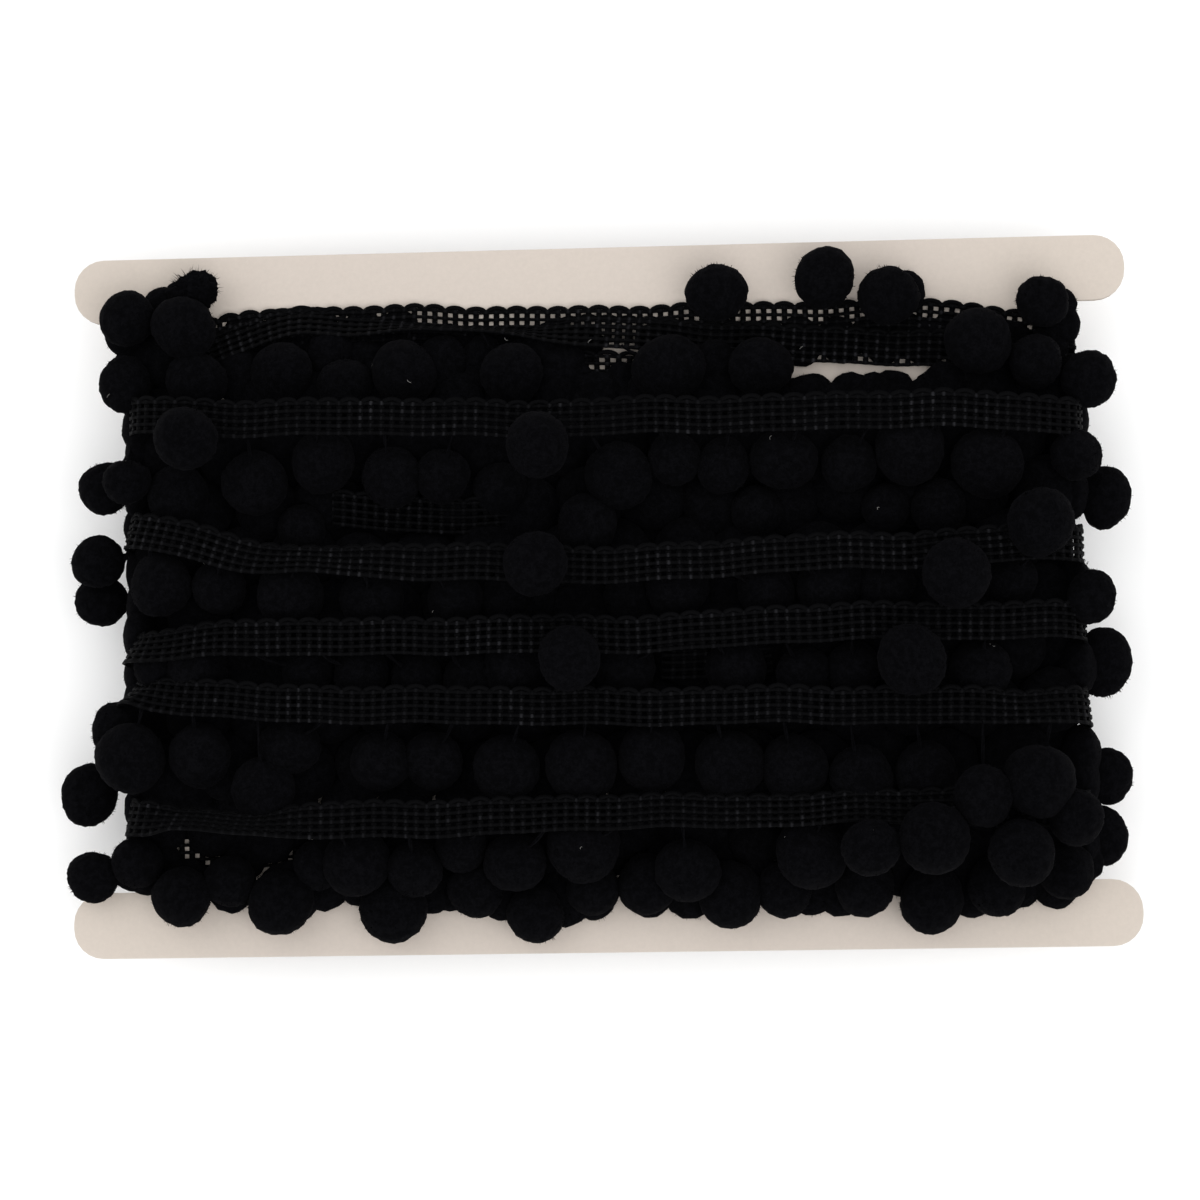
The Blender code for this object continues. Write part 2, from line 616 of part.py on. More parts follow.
def build_core(inner, material, collection, cutters):
    """The inner winding: a lumpy sleeve round the card, joined with the pompoms of it that show."""
    bm = bmesh.new()
    add_sleeve(bm)
    length = CORE_TOP - CORE_FOOT
    for v in bm.verts:
        share = v.co.z + 0.5
        angle = math.atan2(v.co.y, v.co.x)
        if math.hypot(v.co.x, v.co.y) < 0.75:
            x, z = superellipse(angle, SLOT_REACH, SLOT_HALF, 2.0)
            scale = min(SLOT_REACH / max(abs(x), 1e-9), SLOT_HALF / max(abs(z), 1e-9))
            v.co = Vector((x * scale, CORE_TOP - share * length, z * scale + CARD_MID))
            continue
        narrow = CORE_END if min(share, 1 - share) < 0.5 / CORE_ROWS else 1.0
        x, z = superellipse(angle, CORE_REACH, CORE_RISE * narrow, CORE_SQUARE)
        wave = math.cos(math.pi * x / LUMP_LONG) * math.cos(math.pi * share * length / LUMP_TALL)
        z *= 1 - LUMP_DEEP / CORE_RISE * (0.5 - 0.5 * wave)
        v.co = Vector((x + SHIFT, CORE_TOP - share * length, z + CARD_MID))
    core = add_object("inner_winding", bm, material, collection)
    bm = bmesh.new()
    for spot, radius in inner:
        grow = Matrix.Diagonal((radius, radius, radius * SQUASH, 1.0))
        place = Matrix.Translation(Vector(spot)) @ grow
        bmesh.ops.create_uvsphere(bm, u_segments=BALL_SIDES, v_segments=5, radius=1.0, matrix=place)
    balls = add_object("inner_pompoms", bm, material, cutters)
    balls.hide_render = True
    balls.display_type = "WIRE"
    join = core.modifiers.new("join", "BOOLEAN")
    join.operation = "UNION"
    join.solver = "EXACT"
    join.object = balls
    return core


def main():
    clear_scene()
    collection = bpy.data.collections.new("pompom_fringe_trim")
    cutters = bpy.data.collections.new("cutters")
    bpy.context.scene.collection.children.link(collection)
    bpy.context.scene.collection.children.link(cutters)
    board = make_material("board", (0.70, 0.63, 0.57), 0.85)
    yarn = make_material("yarn", (0.006, 0.006, 0.008), 0.95)
    paths = [Path(turn) for turn in TURNS]
    pompoms, goals, radii = lay_out(paths)
    spots = settle(paths, pompoms, goals, radii)
    radii = fit_radii(spots, radii)
    build_card(board, collection)
    sunk = np.array([0.0, 0.0, INNER_SUNK])
    inner = [(spots[k] - sunk, radii[k]) for k, p in enumerate(pompoms) if p.kind == "inner"]
    build_core(inner, yarn, collection, cutters)
    for number, path in enumerate(paths):
        build_turn(number, path, pompoms, spots, radii, yarn, collection)


main()
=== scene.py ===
"""Looks of a pompom fringe trim wound flat on a card.

Eight turns of an openwork knitted tape lie round a blank board card, over an inner winding of the same trim,
with brushed yarn pompoms hanging from the tape's lower edge. X runs along the card, Y up the card and Z out
of its face. The layout is worked out in millimetres, and the meshes are made in metres.
"""

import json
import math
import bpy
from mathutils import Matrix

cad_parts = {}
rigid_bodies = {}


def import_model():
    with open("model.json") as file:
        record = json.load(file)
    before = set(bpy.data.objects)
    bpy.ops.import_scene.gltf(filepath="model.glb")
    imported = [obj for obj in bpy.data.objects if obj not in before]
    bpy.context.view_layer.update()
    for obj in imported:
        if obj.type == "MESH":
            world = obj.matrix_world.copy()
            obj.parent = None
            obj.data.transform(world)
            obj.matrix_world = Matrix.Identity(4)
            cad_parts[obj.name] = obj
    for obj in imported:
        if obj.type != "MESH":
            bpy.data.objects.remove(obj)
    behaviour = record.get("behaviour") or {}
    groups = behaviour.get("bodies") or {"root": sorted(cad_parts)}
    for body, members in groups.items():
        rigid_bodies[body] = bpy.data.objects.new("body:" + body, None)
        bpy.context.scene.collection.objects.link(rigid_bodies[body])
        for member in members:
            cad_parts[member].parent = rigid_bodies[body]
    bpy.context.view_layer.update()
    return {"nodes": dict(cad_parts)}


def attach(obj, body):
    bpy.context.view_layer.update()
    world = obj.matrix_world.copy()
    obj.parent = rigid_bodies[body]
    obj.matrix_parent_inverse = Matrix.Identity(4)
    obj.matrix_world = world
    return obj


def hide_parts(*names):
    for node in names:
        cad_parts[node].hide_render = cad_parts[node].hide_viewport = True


bl_info = {
    "name": "Pompom fringe trim on a card",
    "version": (1, 0, 0),
    "blender": (4, 5, 0),
    "location": "View3D > Sidebar > Fringe trim",
    "description": "Builds the card, tape, pompoms and inner winding of a wound pompom fringe trim",
    "category": "Add Mesh",
}

from collections import defaultdict, namedtuple

import bmesh
import bpy
import numpy as np
from bpy.props import FloatProperty, FloatVectorProperty, IntProperty, PointerProperty
from mathutils import Matrix, Vector

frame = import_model()

MM = 0.001
TINY = 1e-6
UP = np.array([0.0, 0.0, 1.0])
SEED = 11
GAP = 0.3  # between solids that touch
SHIFT = 1.6  # how far the winding sits off the card's middle, along X

# Card.
CARD_LENGTH = 267.0
CARD_HEIGHT = 178.0
CARD_THICK = 1.5
PAINTED_LIGHT_START = 70.0  # from the middle, along X, to where the painted light towards the ears begins
EAR_TALL = 16.5
WAIST_LENGTH = 227.0

# Trim: tape with pompoms along its lower edge.
TAPE_WIDE = 8.6
TAPE_THICK = 1.2
BALL_RADIUS = 7.9
BALL_VARIES = 0.04  # share of the radius
SQUASH = 0.8  # height of a pompom pressed in the winding, over its width
END_ROOM = 6.0  # from the sides of a loop to the roots of the front pompoms
SIDE_ROOT = 3.0  # from the start of a turn to the root of its left side pompom
STATION_APART = 3.4  # least between the roots of two pompoms

# How the pompoms settle.
SETTLE_ROUNDS = 160
HOLD = 0.06  # how strongly a pompom is drawn to the place it would like
TAPE_STEP = 3.0  # between the places where the pompoms feel a tape
SOFT = 0.86  # share of a pompom's radius inside which it isn't pressed further

# Inner winding round the card's waist.
CORE_WALL = 6.0
CORE_REACH = 117.6
CORE_TOP = 45.0
CORE_FOOT = -50.0
CORE_SQUARE = 5.0

# Heights over the surface that the object lies on.
FLOOR_BALL_MID = 6.0
BACK_TAPE_MID = 2 * FLOOR_BALL_MID + GAP + TAPE_THICK / 2
CARD_MID = BACK_TAPE_MID + TAPE_THICK / 2 + GAP + CORE_WALL + GAP + CARD_THICK / 2
CARD_FACE = CARD_MID + CARD_THICK / 2
CORE_RISE = CARD_THICK / 2 + GAP + CORE_WALL

# Heights over the card's middle plane.
ON_CARD = CARD_THICK / 2 + GAP
ON_CORE = CORE_RISE + GAP
BALL_TALL = SQUASH * BALL_RADIUS
TOP_RISE = ON_CORE + 2 * BALL_TALL + GAP + TAPE_THICK / 2
CARD_RISE = ON_CARD + TAPE_THICK / 2
SECOND_RISE = CARD_RISE + TAPE_THICK + GAP
BACK_FALL = CARD_MID - BACK_TAPE_MID

# Where the front heights of a tape are given, along X.
KNOTS = (-121.0, -75.0, 0.0, 75.0, 121.0)

# One row for each turn, from the top of the card down.
# heights: middle of the tape on the front, at KNOTS.
# meets: its height where the back pass ends, on the left.
# rise, fall: how far the tape stands off the card's middle plane, in front and behind.
# reach, square: half length of its loop, and how square the loop's corners are.
# bed: height over the card's middle plane of what the front pompoms lie on.
# first, pitch: where the front pompoms hang from the tape, along X.
# front: the front pompoms by number, each as its place across and up, and its width.
# up, over: numbers of the front pompoms that are thrown up over the card, or lie on the tape.
# sides: pompoms at the card's sides, each as across, up, height over the card's middle plane, and width.
# behind: pompoms on the back.
Turn = namedtuple(
    "Turn", "name heights meets rise fall reach square bed first pitch front up over sides behind"
)
TURNS = (
    Turn("turn_1", (65.8, 70.8, 68.9, 69.2, 64.4), 58.4, CARD_RISE, CARD_RISE, 116.8, 24.0, ON_CARD,
         -117.2, 17.7,
         {0: (-118, 72, 14), 1: (-101, 79, 10), 8: (31, 75, 15), 10: (58, 78, 15), 11: (74, 73.5, 15),
          13: (112, 71, 13)},
         (0, 1, 8, 10, 11, 13), (), (), 0),
    Turn("turn_2", (58.9, 71.3, 66.5, 60.8, 57.0), 46.3, SECOND_RISE, BACK_FALL, 118.6, 24.0, ON_CARD,
         -117.5, 17.8,
         {0: (-103, 69, 16), 1: (-101, 57, 15), 2: (-79, 58, 15), 3: (-63, 54, 14), 4: (-48, 57, 16),
          5: (-21, 56, 16), 7: (19, 57, 17), 9: (42, 57, 15), 12: (96, 61, 17), 13: (110, 56, 13)},
         (), (0, 12, 13), ((-119, 53, 9, 12), (123, 50, 9, 13)), 12),
    Turn("turn_3", (46.3, 44.2, 42.5, 42.9, 41.5), 18.0, TOP_RISE, BACK_FALL, 119.0, 5.5, ON_CORE,
         -102.4, 17.0,
         {0: (-100, 39, 15), 1: (-85, 29, 15), 2: (-68, 34, 15), 3: (-51, 30, 14), 4: (-38, 30, 13),
          5: (-13, 35, 15), 6: (6, 29, 16), 7: (20, 33, 13), 8: (32, 31, 13), 9: (47, 32, 15),
          10: (63, 31, 13), 11: (78, 34, 16), 12: (97, 30, 16), 13: (119, 32, 12)},
         (), (0, 5), ((-127, 29, 0, 13), (-119, 30, 13, 11), (128, 22, 0, 12)), 12),
    Turn("turn_4", (18.0, 8.8, 6.1, 8.4, 10.0), -11.5, TOP_RISE, BACK_FALL, 119.0, 5.5, ON_CORE,
         -110.0, 18.0,
         {0: (-109, 4, 15), 1: (-94, 3, 13), 2: (-76, 1, 16), 3: (-56, -1, 14), 4: (-35, -1, 13),
          5: (-14, 6, 15), 6: (-2, 17, 14), 7: (20, 1, 14), 8: (42, 0, 13), 9: (58, 1, 15),
          10: (72, 1, 13), 11: (88, 2, 16), 12: (102, 1, 12), 13: (109, 14, 16)},
         (6, 13), (5, 11, 13), ((-127, 11, 4, 13), (-128, 2, -4, 13), (121, -2, 14, 11)), 12),
    Turn("turn_5", (-11.5, -10.3, -11.0, -9.0, -9.6), -22.8, TOP_RISE, BACK_FALL, 119.0, 5.5, ON_CORE,
         -116.8, 16.3,
         {0: (-110, -16, 11), 1: (-100, -17, 14), 2: (-72, -18, 12), 3: (-59, -19, 13),
          4: (-45, -20, 12), 5: (-32, -21, 12), 6: (-20, -18, 15), 7: (-6, -17, 14), 8: (7, -19, 14),
          9: (34, -19, 14), 10: (51, -21, 13), 11: (63, -20, 12), 12: (77, -19, 16), 13: (94, -21, 15)},
         (), (7, 12), ((128.4, -19, 0, 13.6),), 12),
    Turn("turn_6", (-22.8, -26.8, -28.7, -29.5, -30.6), -54.0, TOP_RISE, BACK_FALL, 119.0, 5.5, ON_CORE,
         -115.3, 16.1,
         {0: (-117, -38, 16), 1: (-99, -39, 15), 2: (-83, -47, 15), 3: (-77, -37, 14), 4: (-54, -41, 14),
          5: (-41, -41, 13), 6: (-23, -43, 16), 7: (-4, -43, 17), 8: (13, -41, 16), 9: (32, -43, 16),
          10: (48, -44, 15), 11: (64, -47, 15), 12: (80, -46, 14), 13: (93, -52, 14), 14: (107, -49, 16)},
         (), (13, 14), ((-129.4, -46, -3, 13.6), (-122, -33, 9, 12), (128, -47, 0, 12)), 12),
    Turn("turn_7", (-54.0, -55.8, -54.6, -54.3, -55.2), -61.0, TOP_RISE, BACK_FALL, 119.0, 5.5, ON_CORE,
         -62.8, 16.7,
         {0: (-60, -66, 15), 1: (-46, -68, 13), 2: (-34, -62, 12), 3: (-21, -66, 14), 4: (-4, -63, 17),
          5: (21, -69, 15), 7: (51, -66, 17), 8: (66, -64, 13), 9: (81, -62, 16), 10: (102, -66, 15),
          11: (115, -57, 13)},
         (), (8, 9, 10, 11), ((127, -62, 0, 11),), 12),
    Turn("turn_8", (-62.4, -62.0, -63.5, -63.5, -63.0), -66.0, CARD_RISE, CARD_RISE, 116.8, 24.0, ON_CARD,
         -115.9, 15.2,
         {0: (-116, -65, 13), 1: (-104.5, -73.5, 15.5), 2: (-92, -70.5, 13), 3: (-80, -74.5, 17),
          4: (-71, -67, 13), 5: (-51.5, -76.5, 17), 6: (-31, -73, 14), 7: (-16, -79, 15), 8: (-2, -73, 13),
          9: (12, -72, 14), 10: (32, -75, 16), 11: (46, -73, 14), 12: (65, -73, 15), 13: (81, -77, 16),
          14: (97, -74, 14), 15: (114, -70, 14)},
         (), (0, 1, 2, 4, 6, 8, 9, 11, 12, 14, 15), ((-129, -70, 6, 12),), 0),
)

# Pompoms of the inner winding that show: place across and up, and width.
INNER_POMPOMS = (
    (-105, 27, 15), (-74, 18, 12), (-24, 27, 13), (40, 20, 13), (72, 20, 12), (85, 20, 14),
    (-23, -1, 13), (8, -1, 13),
)
INNER_SUNK = 3.0

BACK_SQUARE = 7.0
BACK_FIRST = 100.0
BACK_PITCH = 17.8
BACK_DROP = 13.0
DROP_VARIES = 1.5
PLACE_VARIES = 1.5

FLAT = ((0, 0), (1, 0))

# Where a tape turns on its edge: (place along X, degrees) on the front of a turn.
ROLLS = {
    "turn_2": ((-112, 20), (-90, 26), (-66, 34), (-40, 72), (-22, 70), (0, 22), (26, 14), (60, 0)),
    "turn_4": ((-121, 0), (-116, 16), (-100, 8), (-70, 42), (-40, 6), (70, 12), (119, 0)),
    "turn_5": ((-121, 0), (-115, 36), (-100, 24), (-76, 0)),
    "turn_6": ((-121, 0), (-115, 56), (-108, 20), (-96, 0), (90, 0), (104, 28), (119, 6)),
    "turn_7": ((-121, 0), (-113, 15), (-103, 56), (-86, 56), (-66, 12), (-40, 8), (0, 24), (60, 34)),
}

# Pompoms of lower layers that are pressed on the card between the turns: place across and up, and width.
TUCKED = (
    (-109, 62, 14), (-91, 58, 13), (-84, 53, 13), (-67, 63, 12), (-71, 52, 13), (-55, 55, 12),
    (-39, 60, 13), (-35, 51, 13), (-28, 62, 10), (-15, 62, 10), (-11, 53, 13), (1, 51, 11), (14, 51, 12),
    (30, 58, 12), (29, 51, 13), (53, 50, 10), (70, 50, 10), (88, 51, 12), (98, 53, 13), (112, 50, 14),
    (114, 61, 10), (-112, -54, 12), (-98, -57, 13), (-83, -60, 12), (-66, -60, 12), (-46, -60, 13),
    (-25, -60, 13), (-10, -68, 11), (7, -59, 13), (22, -59, 13), (38, -62, 14), (58, -60, 13),
    (74, -70, 12), (90, -66, 13), (104, -60, 14), (112, -66, 12), (-62, -69, 12), (-43, -67, 11),
    (39, -71, 12), (-9, 58, 12), (-108, 50, 12), (-104, -50, 13), (-91, -51, 13), (-77, -50, 13),
    (-63, -51, 13), (-49, -50, 13), (-35, -51, 13), (-20, -50, 13), (-6, -51, 13), (9, -50, 13),
    (23, -51, 13), (37, -50, 13), (52, -51, 13), (66, -50, 13), (80, -51, 13), (95, -50, 13),
    (109, -51, 13), (-117, 61, 11), (118, -68, 11), (-114, -67, 12), (-118, -66, 12), (-104, -71, 13),
    (-93, -71.5, 12), (-78, -73, 15), (-69, -71, 12), (-61, -71, 11), (-50.5, -75, 15), (-43, -72.5, 13),
    (-37, -72, 12), (-24, -74.4, 12), (-9, -74.6, 14), (-2, -75, 12), (11.5, -74.4, 12), (22, -75, 12),
    (29, -75, 12), (52, -74.6, 12), (59, -74, 12), (91, -75.2, 12), (103, -74, 11), (112, -73, 13),
    (-110, 74.6, 12), (117, 66, 10), (117, 71, 8), (78, 75, 11), (-30, 56, 9), (-57.5, 61.3, 9),
    (-4.7, 55.5, 8), (6.7, 55, 8), (-119.3, 69.5, 12),
)
TUCKED_TALL = 0.5  # height over width

# Rows of matted pompoms on the card under the turns: place up, width, height over width, start and end.
BedRow = namedtuple("BedRow", "up width tall start end")
BED_ROWS = (
    BedRow(60.0, 11.0, 0.36, -111.0, 12.0), BedRow(62.8, 11.0, 0.16, 20.0, 115.0),
    BedRow(47.5, 12.0, 0.36, -111.0, 115.0), BedRow(50.0, 10.0, 0.36, 44.0, 96.0),
    BedRow(-56.0, 12.0, 0.36, -111.0, 115.0), BedRow(-64.5, 11.5, 0.36, -111.0, 115.0),
)
# The same under the uppermost tape, with the places as falls under its middle.
TOP_BED_ROWS = (BedRow(4.6, 10.5, 0.12, -111.0, 115.0), BedRow(0.3, 9.0, 0.12, -100.0, -50.0))
BED_PITCH = 0.82  # from one to the next, over the width
BED_WANDER = 0.6
BED_NEAR = 0.42  # share of the width that has to stay off a bare place
# Places where the card shows between the turns.
Bare = namedtuple("Bare", "across up half_wide half_tall")
BARE = (
    Bare(7.0, 58.2, 3.6, 1.6), Bare(66.5, 56.6, 17.0, 0.6), Bare(-103.0, -62.5, 2.0, 2.0),
    Bare(-82.0, -65.0, 2.4, 1.6), Bare(43.0, -69.0, 1.8, 2.0), Bare(75.5, -70.0, 1.6, 2.6),
)
# How a pompom lies on the card: how far its shape varies, how high its middle is over half its height, and
# how far its flat foot stays off the board.
PRESSED_VARIES = (0.95, 1.1)
PRESSED_MIDDLE = 0.9
PRESSED_FOOT = 0.05

# Pompoms of lower layers that are pressed flat between the tapes at the winding's sides: place up.
SIDE_TUCKED = {
    -1: (58, 45, 38, 29, 20, 8, 0, -8, -17, -25, -33, -42, -51, -57),
    1: (52, 42, 33, 24, 0, -20, -42, -48, -64),
}
SIDE_TUCKED_RADII = (4.4, 7.2, 7.6)
SIDE_TUCKED_VARIES = (0.92, 1.1)
SIDE_TUCKED_RISE = (-1.0, 3.0)

# Short stretches of tape of the lower layers that show: name, bed, and points across, up and degrees of roll.
STRETCHES = (
    ("top", "card", ((-5, 57.4, 0), (4, 57.6, 20), (14, 57.0, 0))),
    ("left", "core", ((-66, 22.5, 20), (-44, 21.0, 10), (-22, 20.0, 30))),
    ("middle", "core", ((16, -16.5, 0), (30, -17.0, 10), (43, -16.0, 0))),
)

# Specks of pale lint that cling to the yarn: place across and up.
LINT = (
    (-58, 37), (-99, 10), (-122, 52), (-110, 41), (-90, 31), (-117, 4), (-65, 2), (-40, -4), (-23, -12),
    (-11, 48), (-1, 64), (27, 38), (44, 37), (70, 19), (97, -15), (100, -48), (46, -61), (67, -60),
    (23, -65), (-4, -63), (-56, 59), (-46, 54), (52, 61), (-22, 65),
)

Pompom = namedtuple("Pompom", "owner at edge kind")


# ---------------------------------------------------------------- layout


def smooth_between(x, knots, values):
    """Values at x, eased from knot to knot."""
    spot = np.interp(x, knots, np.arange(len(knots)))
    whole = np.minimum(np.floor(spot), len(knots) - 2).astype(int)
    part = spot - whole
    eased = part * part * (3 - 2 * part)
    values = np.asarray(values)
    return values[whole] * (1 - eased) + values[whole + 1] * eased


def squared(wave, square):
    """A sine or cosine drawn out towards the corners of a rounded box."""
    return np.sign(wave) * np.abs(wave) ** (2 / square)


class Path:
    """The middle line of a turn's tape, from the card's left side over the front and round the back."""

    STEPS = 1440
    NEAR = 0.4  # how far ahead and behind the direction is measured

    def __init__(self, turn):
        angle = np.linspace(math.pi, -math.pi, self.STEPS + 1)
        square = np.where(angle >= 0, turn.square, max(turn.square, BACK_SQUARE))
        self.x = SHIFT + turn.reach * squared(np.cos(angle), square)
        lift = squared(np.sin(angle), square)
        self.z = CARD_MID + np.where(lift > 0, turn.rise, turn.fall) * lift
        front = smooth_between(self.x, KNOTS, turn.heights)
        share = (SHIFT + turn.reach - self.x) / (2 * turn.reach)
        back = turn.heights[-1] + (turn.meets - turn.heights[-1]) * share
        self.y = np.where(angle >= 0, front, back)
        step = np.hypot(np.diff(self.x), np.diff(self.z))
        self.s = np.concatenate([[0.0], np.cumsum(step)])
        self.length = self.s[-1]
        self.half = self.s[self.STEPS // 2]

    def point(self, s):
        return np.stack([np.interp(s, self.s, line) for line in (self.x, self.y, self.z)], axis=-1)

    def frame(self, s):
        """Middle, and the directions along the tape, across it and through it towards the card."""
        before, after = np.maximum(s - self.NEAR, 0.0), np.minimum(s + self.NEAR, self.length)
        along = unit(self.point(after) - self.point(before))
        wide = unit(np.array([0.0, 1.0, 0.0]) - along[..., 1:2] * along)
        return self.point(s), along, wide, np.cross(wide, along)

    def front_at(self, x):
        half = self.STEPS // 2
        return float(np.interp(x, self.x[: half + 1], self.s[: half + 1]))

    def back_at(self, x):
        half = self.STEPS // 2
        return float(np.interp(-x, -self.x[half:], self.s[half:]))


def lay_out(paths):
    """Where each pompom hangs from, where it would like to lie, and its radius."""
    rng = np.random.default_rng(SEED)
    pompoms, goals, radii = [], [], []

    def add(pompom, goal, radius):
        pompoms.append(pompom)
        goals.append(goal)
        radii.append(radius)

    for number, (turn, path) in enumerate(zip(TURNS, paths)):
        for k, (x, y, width) in turn.front.items():
            room = turn.reach - END_ROOM
            root_x = np.clip(turn.first + turn.pitch * k, SHIFT - room, SHIFT + room)
            at = path.front_at(root_x)
            half_tall = SQUASH * width / 2
            if k in turn.over:
                mid = path.point(at)[2] + TAPE_THICK + half_tall
            elif k in turn.up and turn.bed == ON_CARD:
                mid = CARD_MID + SECOND_RISE + TAPE_THICK / 2 + GAP + half_tall
            else:
                mid = CARD_MID + turn.bed + half_tall
            edge = 1 if k in turn.up else -1
            add(Pompom(number, at, edge, "front"), (x, y, mid), width / 2)
        for x, y, rise, width in turn.sides:
            at = path.half if x > 0 else SIDE_ROOT
            add(Pompom(number, at, -1, "side"), (x, y, CARD_MID + rise), width / 2)
        for k in range(turn.behind):
            x = BACK_FIRST - BACK_PITCH * (k + 0.5 * (number % 2))
            across, up, size = rng.uniform(-1, 1, 3)
            at = path.back_at(x)
            y = path.point(at)[1] - BACK_DROP + DROP_VARIES * up
            goal = (x + PLACE_VARIES * across, y, FLOOR_BALL_MID)
            add(Pompom(number, at, -1, "back"), goal, BALL_RADIUS * (1 + BALL_VARIES * size))
    for x, y, width in INNER_POMPOMS:
        goal = (x, y, CARD_MID + CORE_RISE + SQUASH * width / 2)
        add(Pompom(None, None, -1, "inner"), goal, width / 2)
    return pompoms, np.array(goals), np.array(radii)


def push_off_boxes(spots, radii, boxes):
    """Moves each ball out of solid boxes, each a middle and half sizes."""
    for middle, half in boxes:
        away = spots - middle
        nearest = np.clip(away, -half, half)
        gap = away - nearest
        reach = np.linalg.norm(gap, axis=1)
        short = radii + GAP - reach
        hit = (short > 0) & (reach > TINY)
        spots[hit] += gap[hit] / reach[hit, None] * short[hit, None]
        inside = reach <= TINY
        lift = np.sign(away[inside, 2]) * (half[2] + radii[inside] + GAP) - away[inside, 2]
        spots[inside, 2] += lift


def push_off_tapes(spots, radii, tape):
    """Moves each ball off the tapes, given as middles and the directions along, across and through them."""
    middles, along, wide, through = tape
    half_wide = TAPE_WIDE / 2
    half_thick = TAPE_THICK / 2
    reach = BALL_RADIUS + half_wide + TAPE_THICK
    for i, spot in enumerate(spots):
        away = spot - middles
        near = np.einsum("ij,ij->i", away, away) < reach * reach
        if not near.any():
            continue
        away = away[near]
        ahead = np.abs(np.einsum("ij,ij->i", away, along[near]))
        w = np.einsum("ij,ij->i", away, wide[near])
        t = np.einsum("ij,ij->i", away, through[near])
        gap_w = w - np.clip(w, -half_wide, half_wide)
        gap_t = t - np.clip(t, -half_thick, half_thick)
        gap = np.hypot(gap_w, gap_t)
        short = np.where(ahead < TAPE_STEP, radii[i] + GAP - gap, 0.0)
        worst = int(np.argmax(short))
        if short[worst] > 0:
            push = gap_w[worst] * wide[near][worst] + gap_t[worst] * through[near][worst]
            size = max(gap[worst], TINY)
            spots[i] += push / size * short[worst]


def settle(paths, pompoms, goals, radii):
    """Pushes the pompoms off each other, the card, the inner winding and the tapes.

    Heights are stretched so that the pressed pompoms are round while this runs.
    """
    stretch = np.array([1.0, 1.0, 1 / SQUASH])
    frames = [path.frame(np.arange(TAPE_STEP, path.length, TAPE_STEP)) for path in paths]
    tape = tuple(np.concatenate(part) for part in zip(*frames))
    tape = (tape[0] * stretch, *tape[1:])
    middle = np.array([0.0, 0.0, CARD_MID]) * stretch
    strip = (CARD_HEIGHT - 2 * EAR_TALL) / 2
    core_mid = np.array([SHIFT, (CORE_TOP + CORE_FOOT) / 2, CARD_MID]) * stretch
    core_half = np.array([CORE_REACH, (CORE_TOP - CORE_FOOT) / 2, CORE_RISE]) * stretch
    waist_half = np.array([WAIST_LENGTH / 2, strip, CARD_THICK / 2]) * stretch
    strip_half = np.array([CARD_LENGTH / 2, EAR_TALL / 2, CARD_THICK / 2]) * stretch
    boxes = [(core_mid, core_half), (middle, waist_half)]
    for end in (-1, 1):
        boxes.append((middle + np.array([0.0, end * (strip + EAR_TALL / 2), 0.0]), strip_half))
    spots = goals * stretch
    wanted = spots.copy()
    kinds = np.array([pompom.kind for pompom in pompoms])
    back = kinds == "back"
    inner = kinds == "inner"
    first, second = np.triu_indices(len(spots), 1)
    for _ in range(SETTLE_ROUNDS):
        spots += HOLD * (wanted - spots)
        push_off_boxes(spots, radii, boxes)
        push_off_tapes(spots, radii, tape)
        away = spots[second] - spots[first]
        reach = np.linalg.norm(away, axis=1)
        short = radii[first] + radii[second] + GAP - reach
        hit = short > 0
        shove = away[hit] / np.maximum(reach[hit], TINY)[:, None] * (0.5 * short[hit])[:, None]
        np.add.at(spots, first[hit], -shove)
        np.add.at(spots, second[hit], shove)
        spots[back, 2] = wanted[back, 2]
        spots[inner, 2] = wanted[inner, 2]
        spots[:, 2] = np.maximum(spots[:, 2], wanted[back, 2].min())
    return spots / stretch


class Layout:
    """The settled places of all pompoms, worked out once."""

    made = None

    def __init__(self):
        self.paths = [Path(turn) for turn in TURNS]
        self.pompoms, goals, radii = lay_out(self.paths)
        self.spots = settle(self.paths, self.pompoms, goals, SOFT * radii)
        self.radii = radii

    @classmethod
    def get(cls):
        if cls.made is None:
            cls.made = cls()
        return cls.made

    def of(self, number):
        return [k for k, pompom in enumerate(self.pompoms) if pompom.owner == number]

    def stations(self, mine):
        """The roots in order along the tape, none too near the next."""
        placed = [self.pompoms[k].at for k in mine]
        order = sorted(range(len(placed)), key=lambda k: placed[k])
        for before, after in zip(order, order[1:]):
            placed[after] = max(placed[after], placed[before] + STATION_APART)
        return placed


# ---------------------------------------------------------------- meshes from arrays


def mesh_piece(name, points, faces, material):
    """An object from points in millimetres and arrays of faces, each array with one number of corners."""
    sizes = np.concatenate([np.full(len(block), block.shape[1]) for block in faces])
    corners = np.concatenate([block.ravel() for block in faces]).astype(np.int32)
    starts = np.concatenate([[0], np.cumsum(sizes)[:-1]]).astype(np.int32)
    mesh = bpy.data.meshes.new(name)
    mesh.vertices.add(len(points))
    mesh.vertices.foreach_set("co", (np.asarray(points) * MM).astype(np.float32).ravel())
    mesh.loops.add(len(corners))
    mesh.loops.foreach_set("vertex_index", corners)
    mesh.polygons.add(len(sizes))
    mesh.polygons.foreach_set("loop_start", starts)
    mesh.materials.append(material)
    mesh.update(calc_edges=True)
    if mesh.validate():
        raise RuntimeError(f"{name} had faulty faces")
    mesh.shade_smooth()
    piece = bpy.data.objects.new(name, mesh)
    bpy.context.scene.collection.objects.link(piece)
    return piece


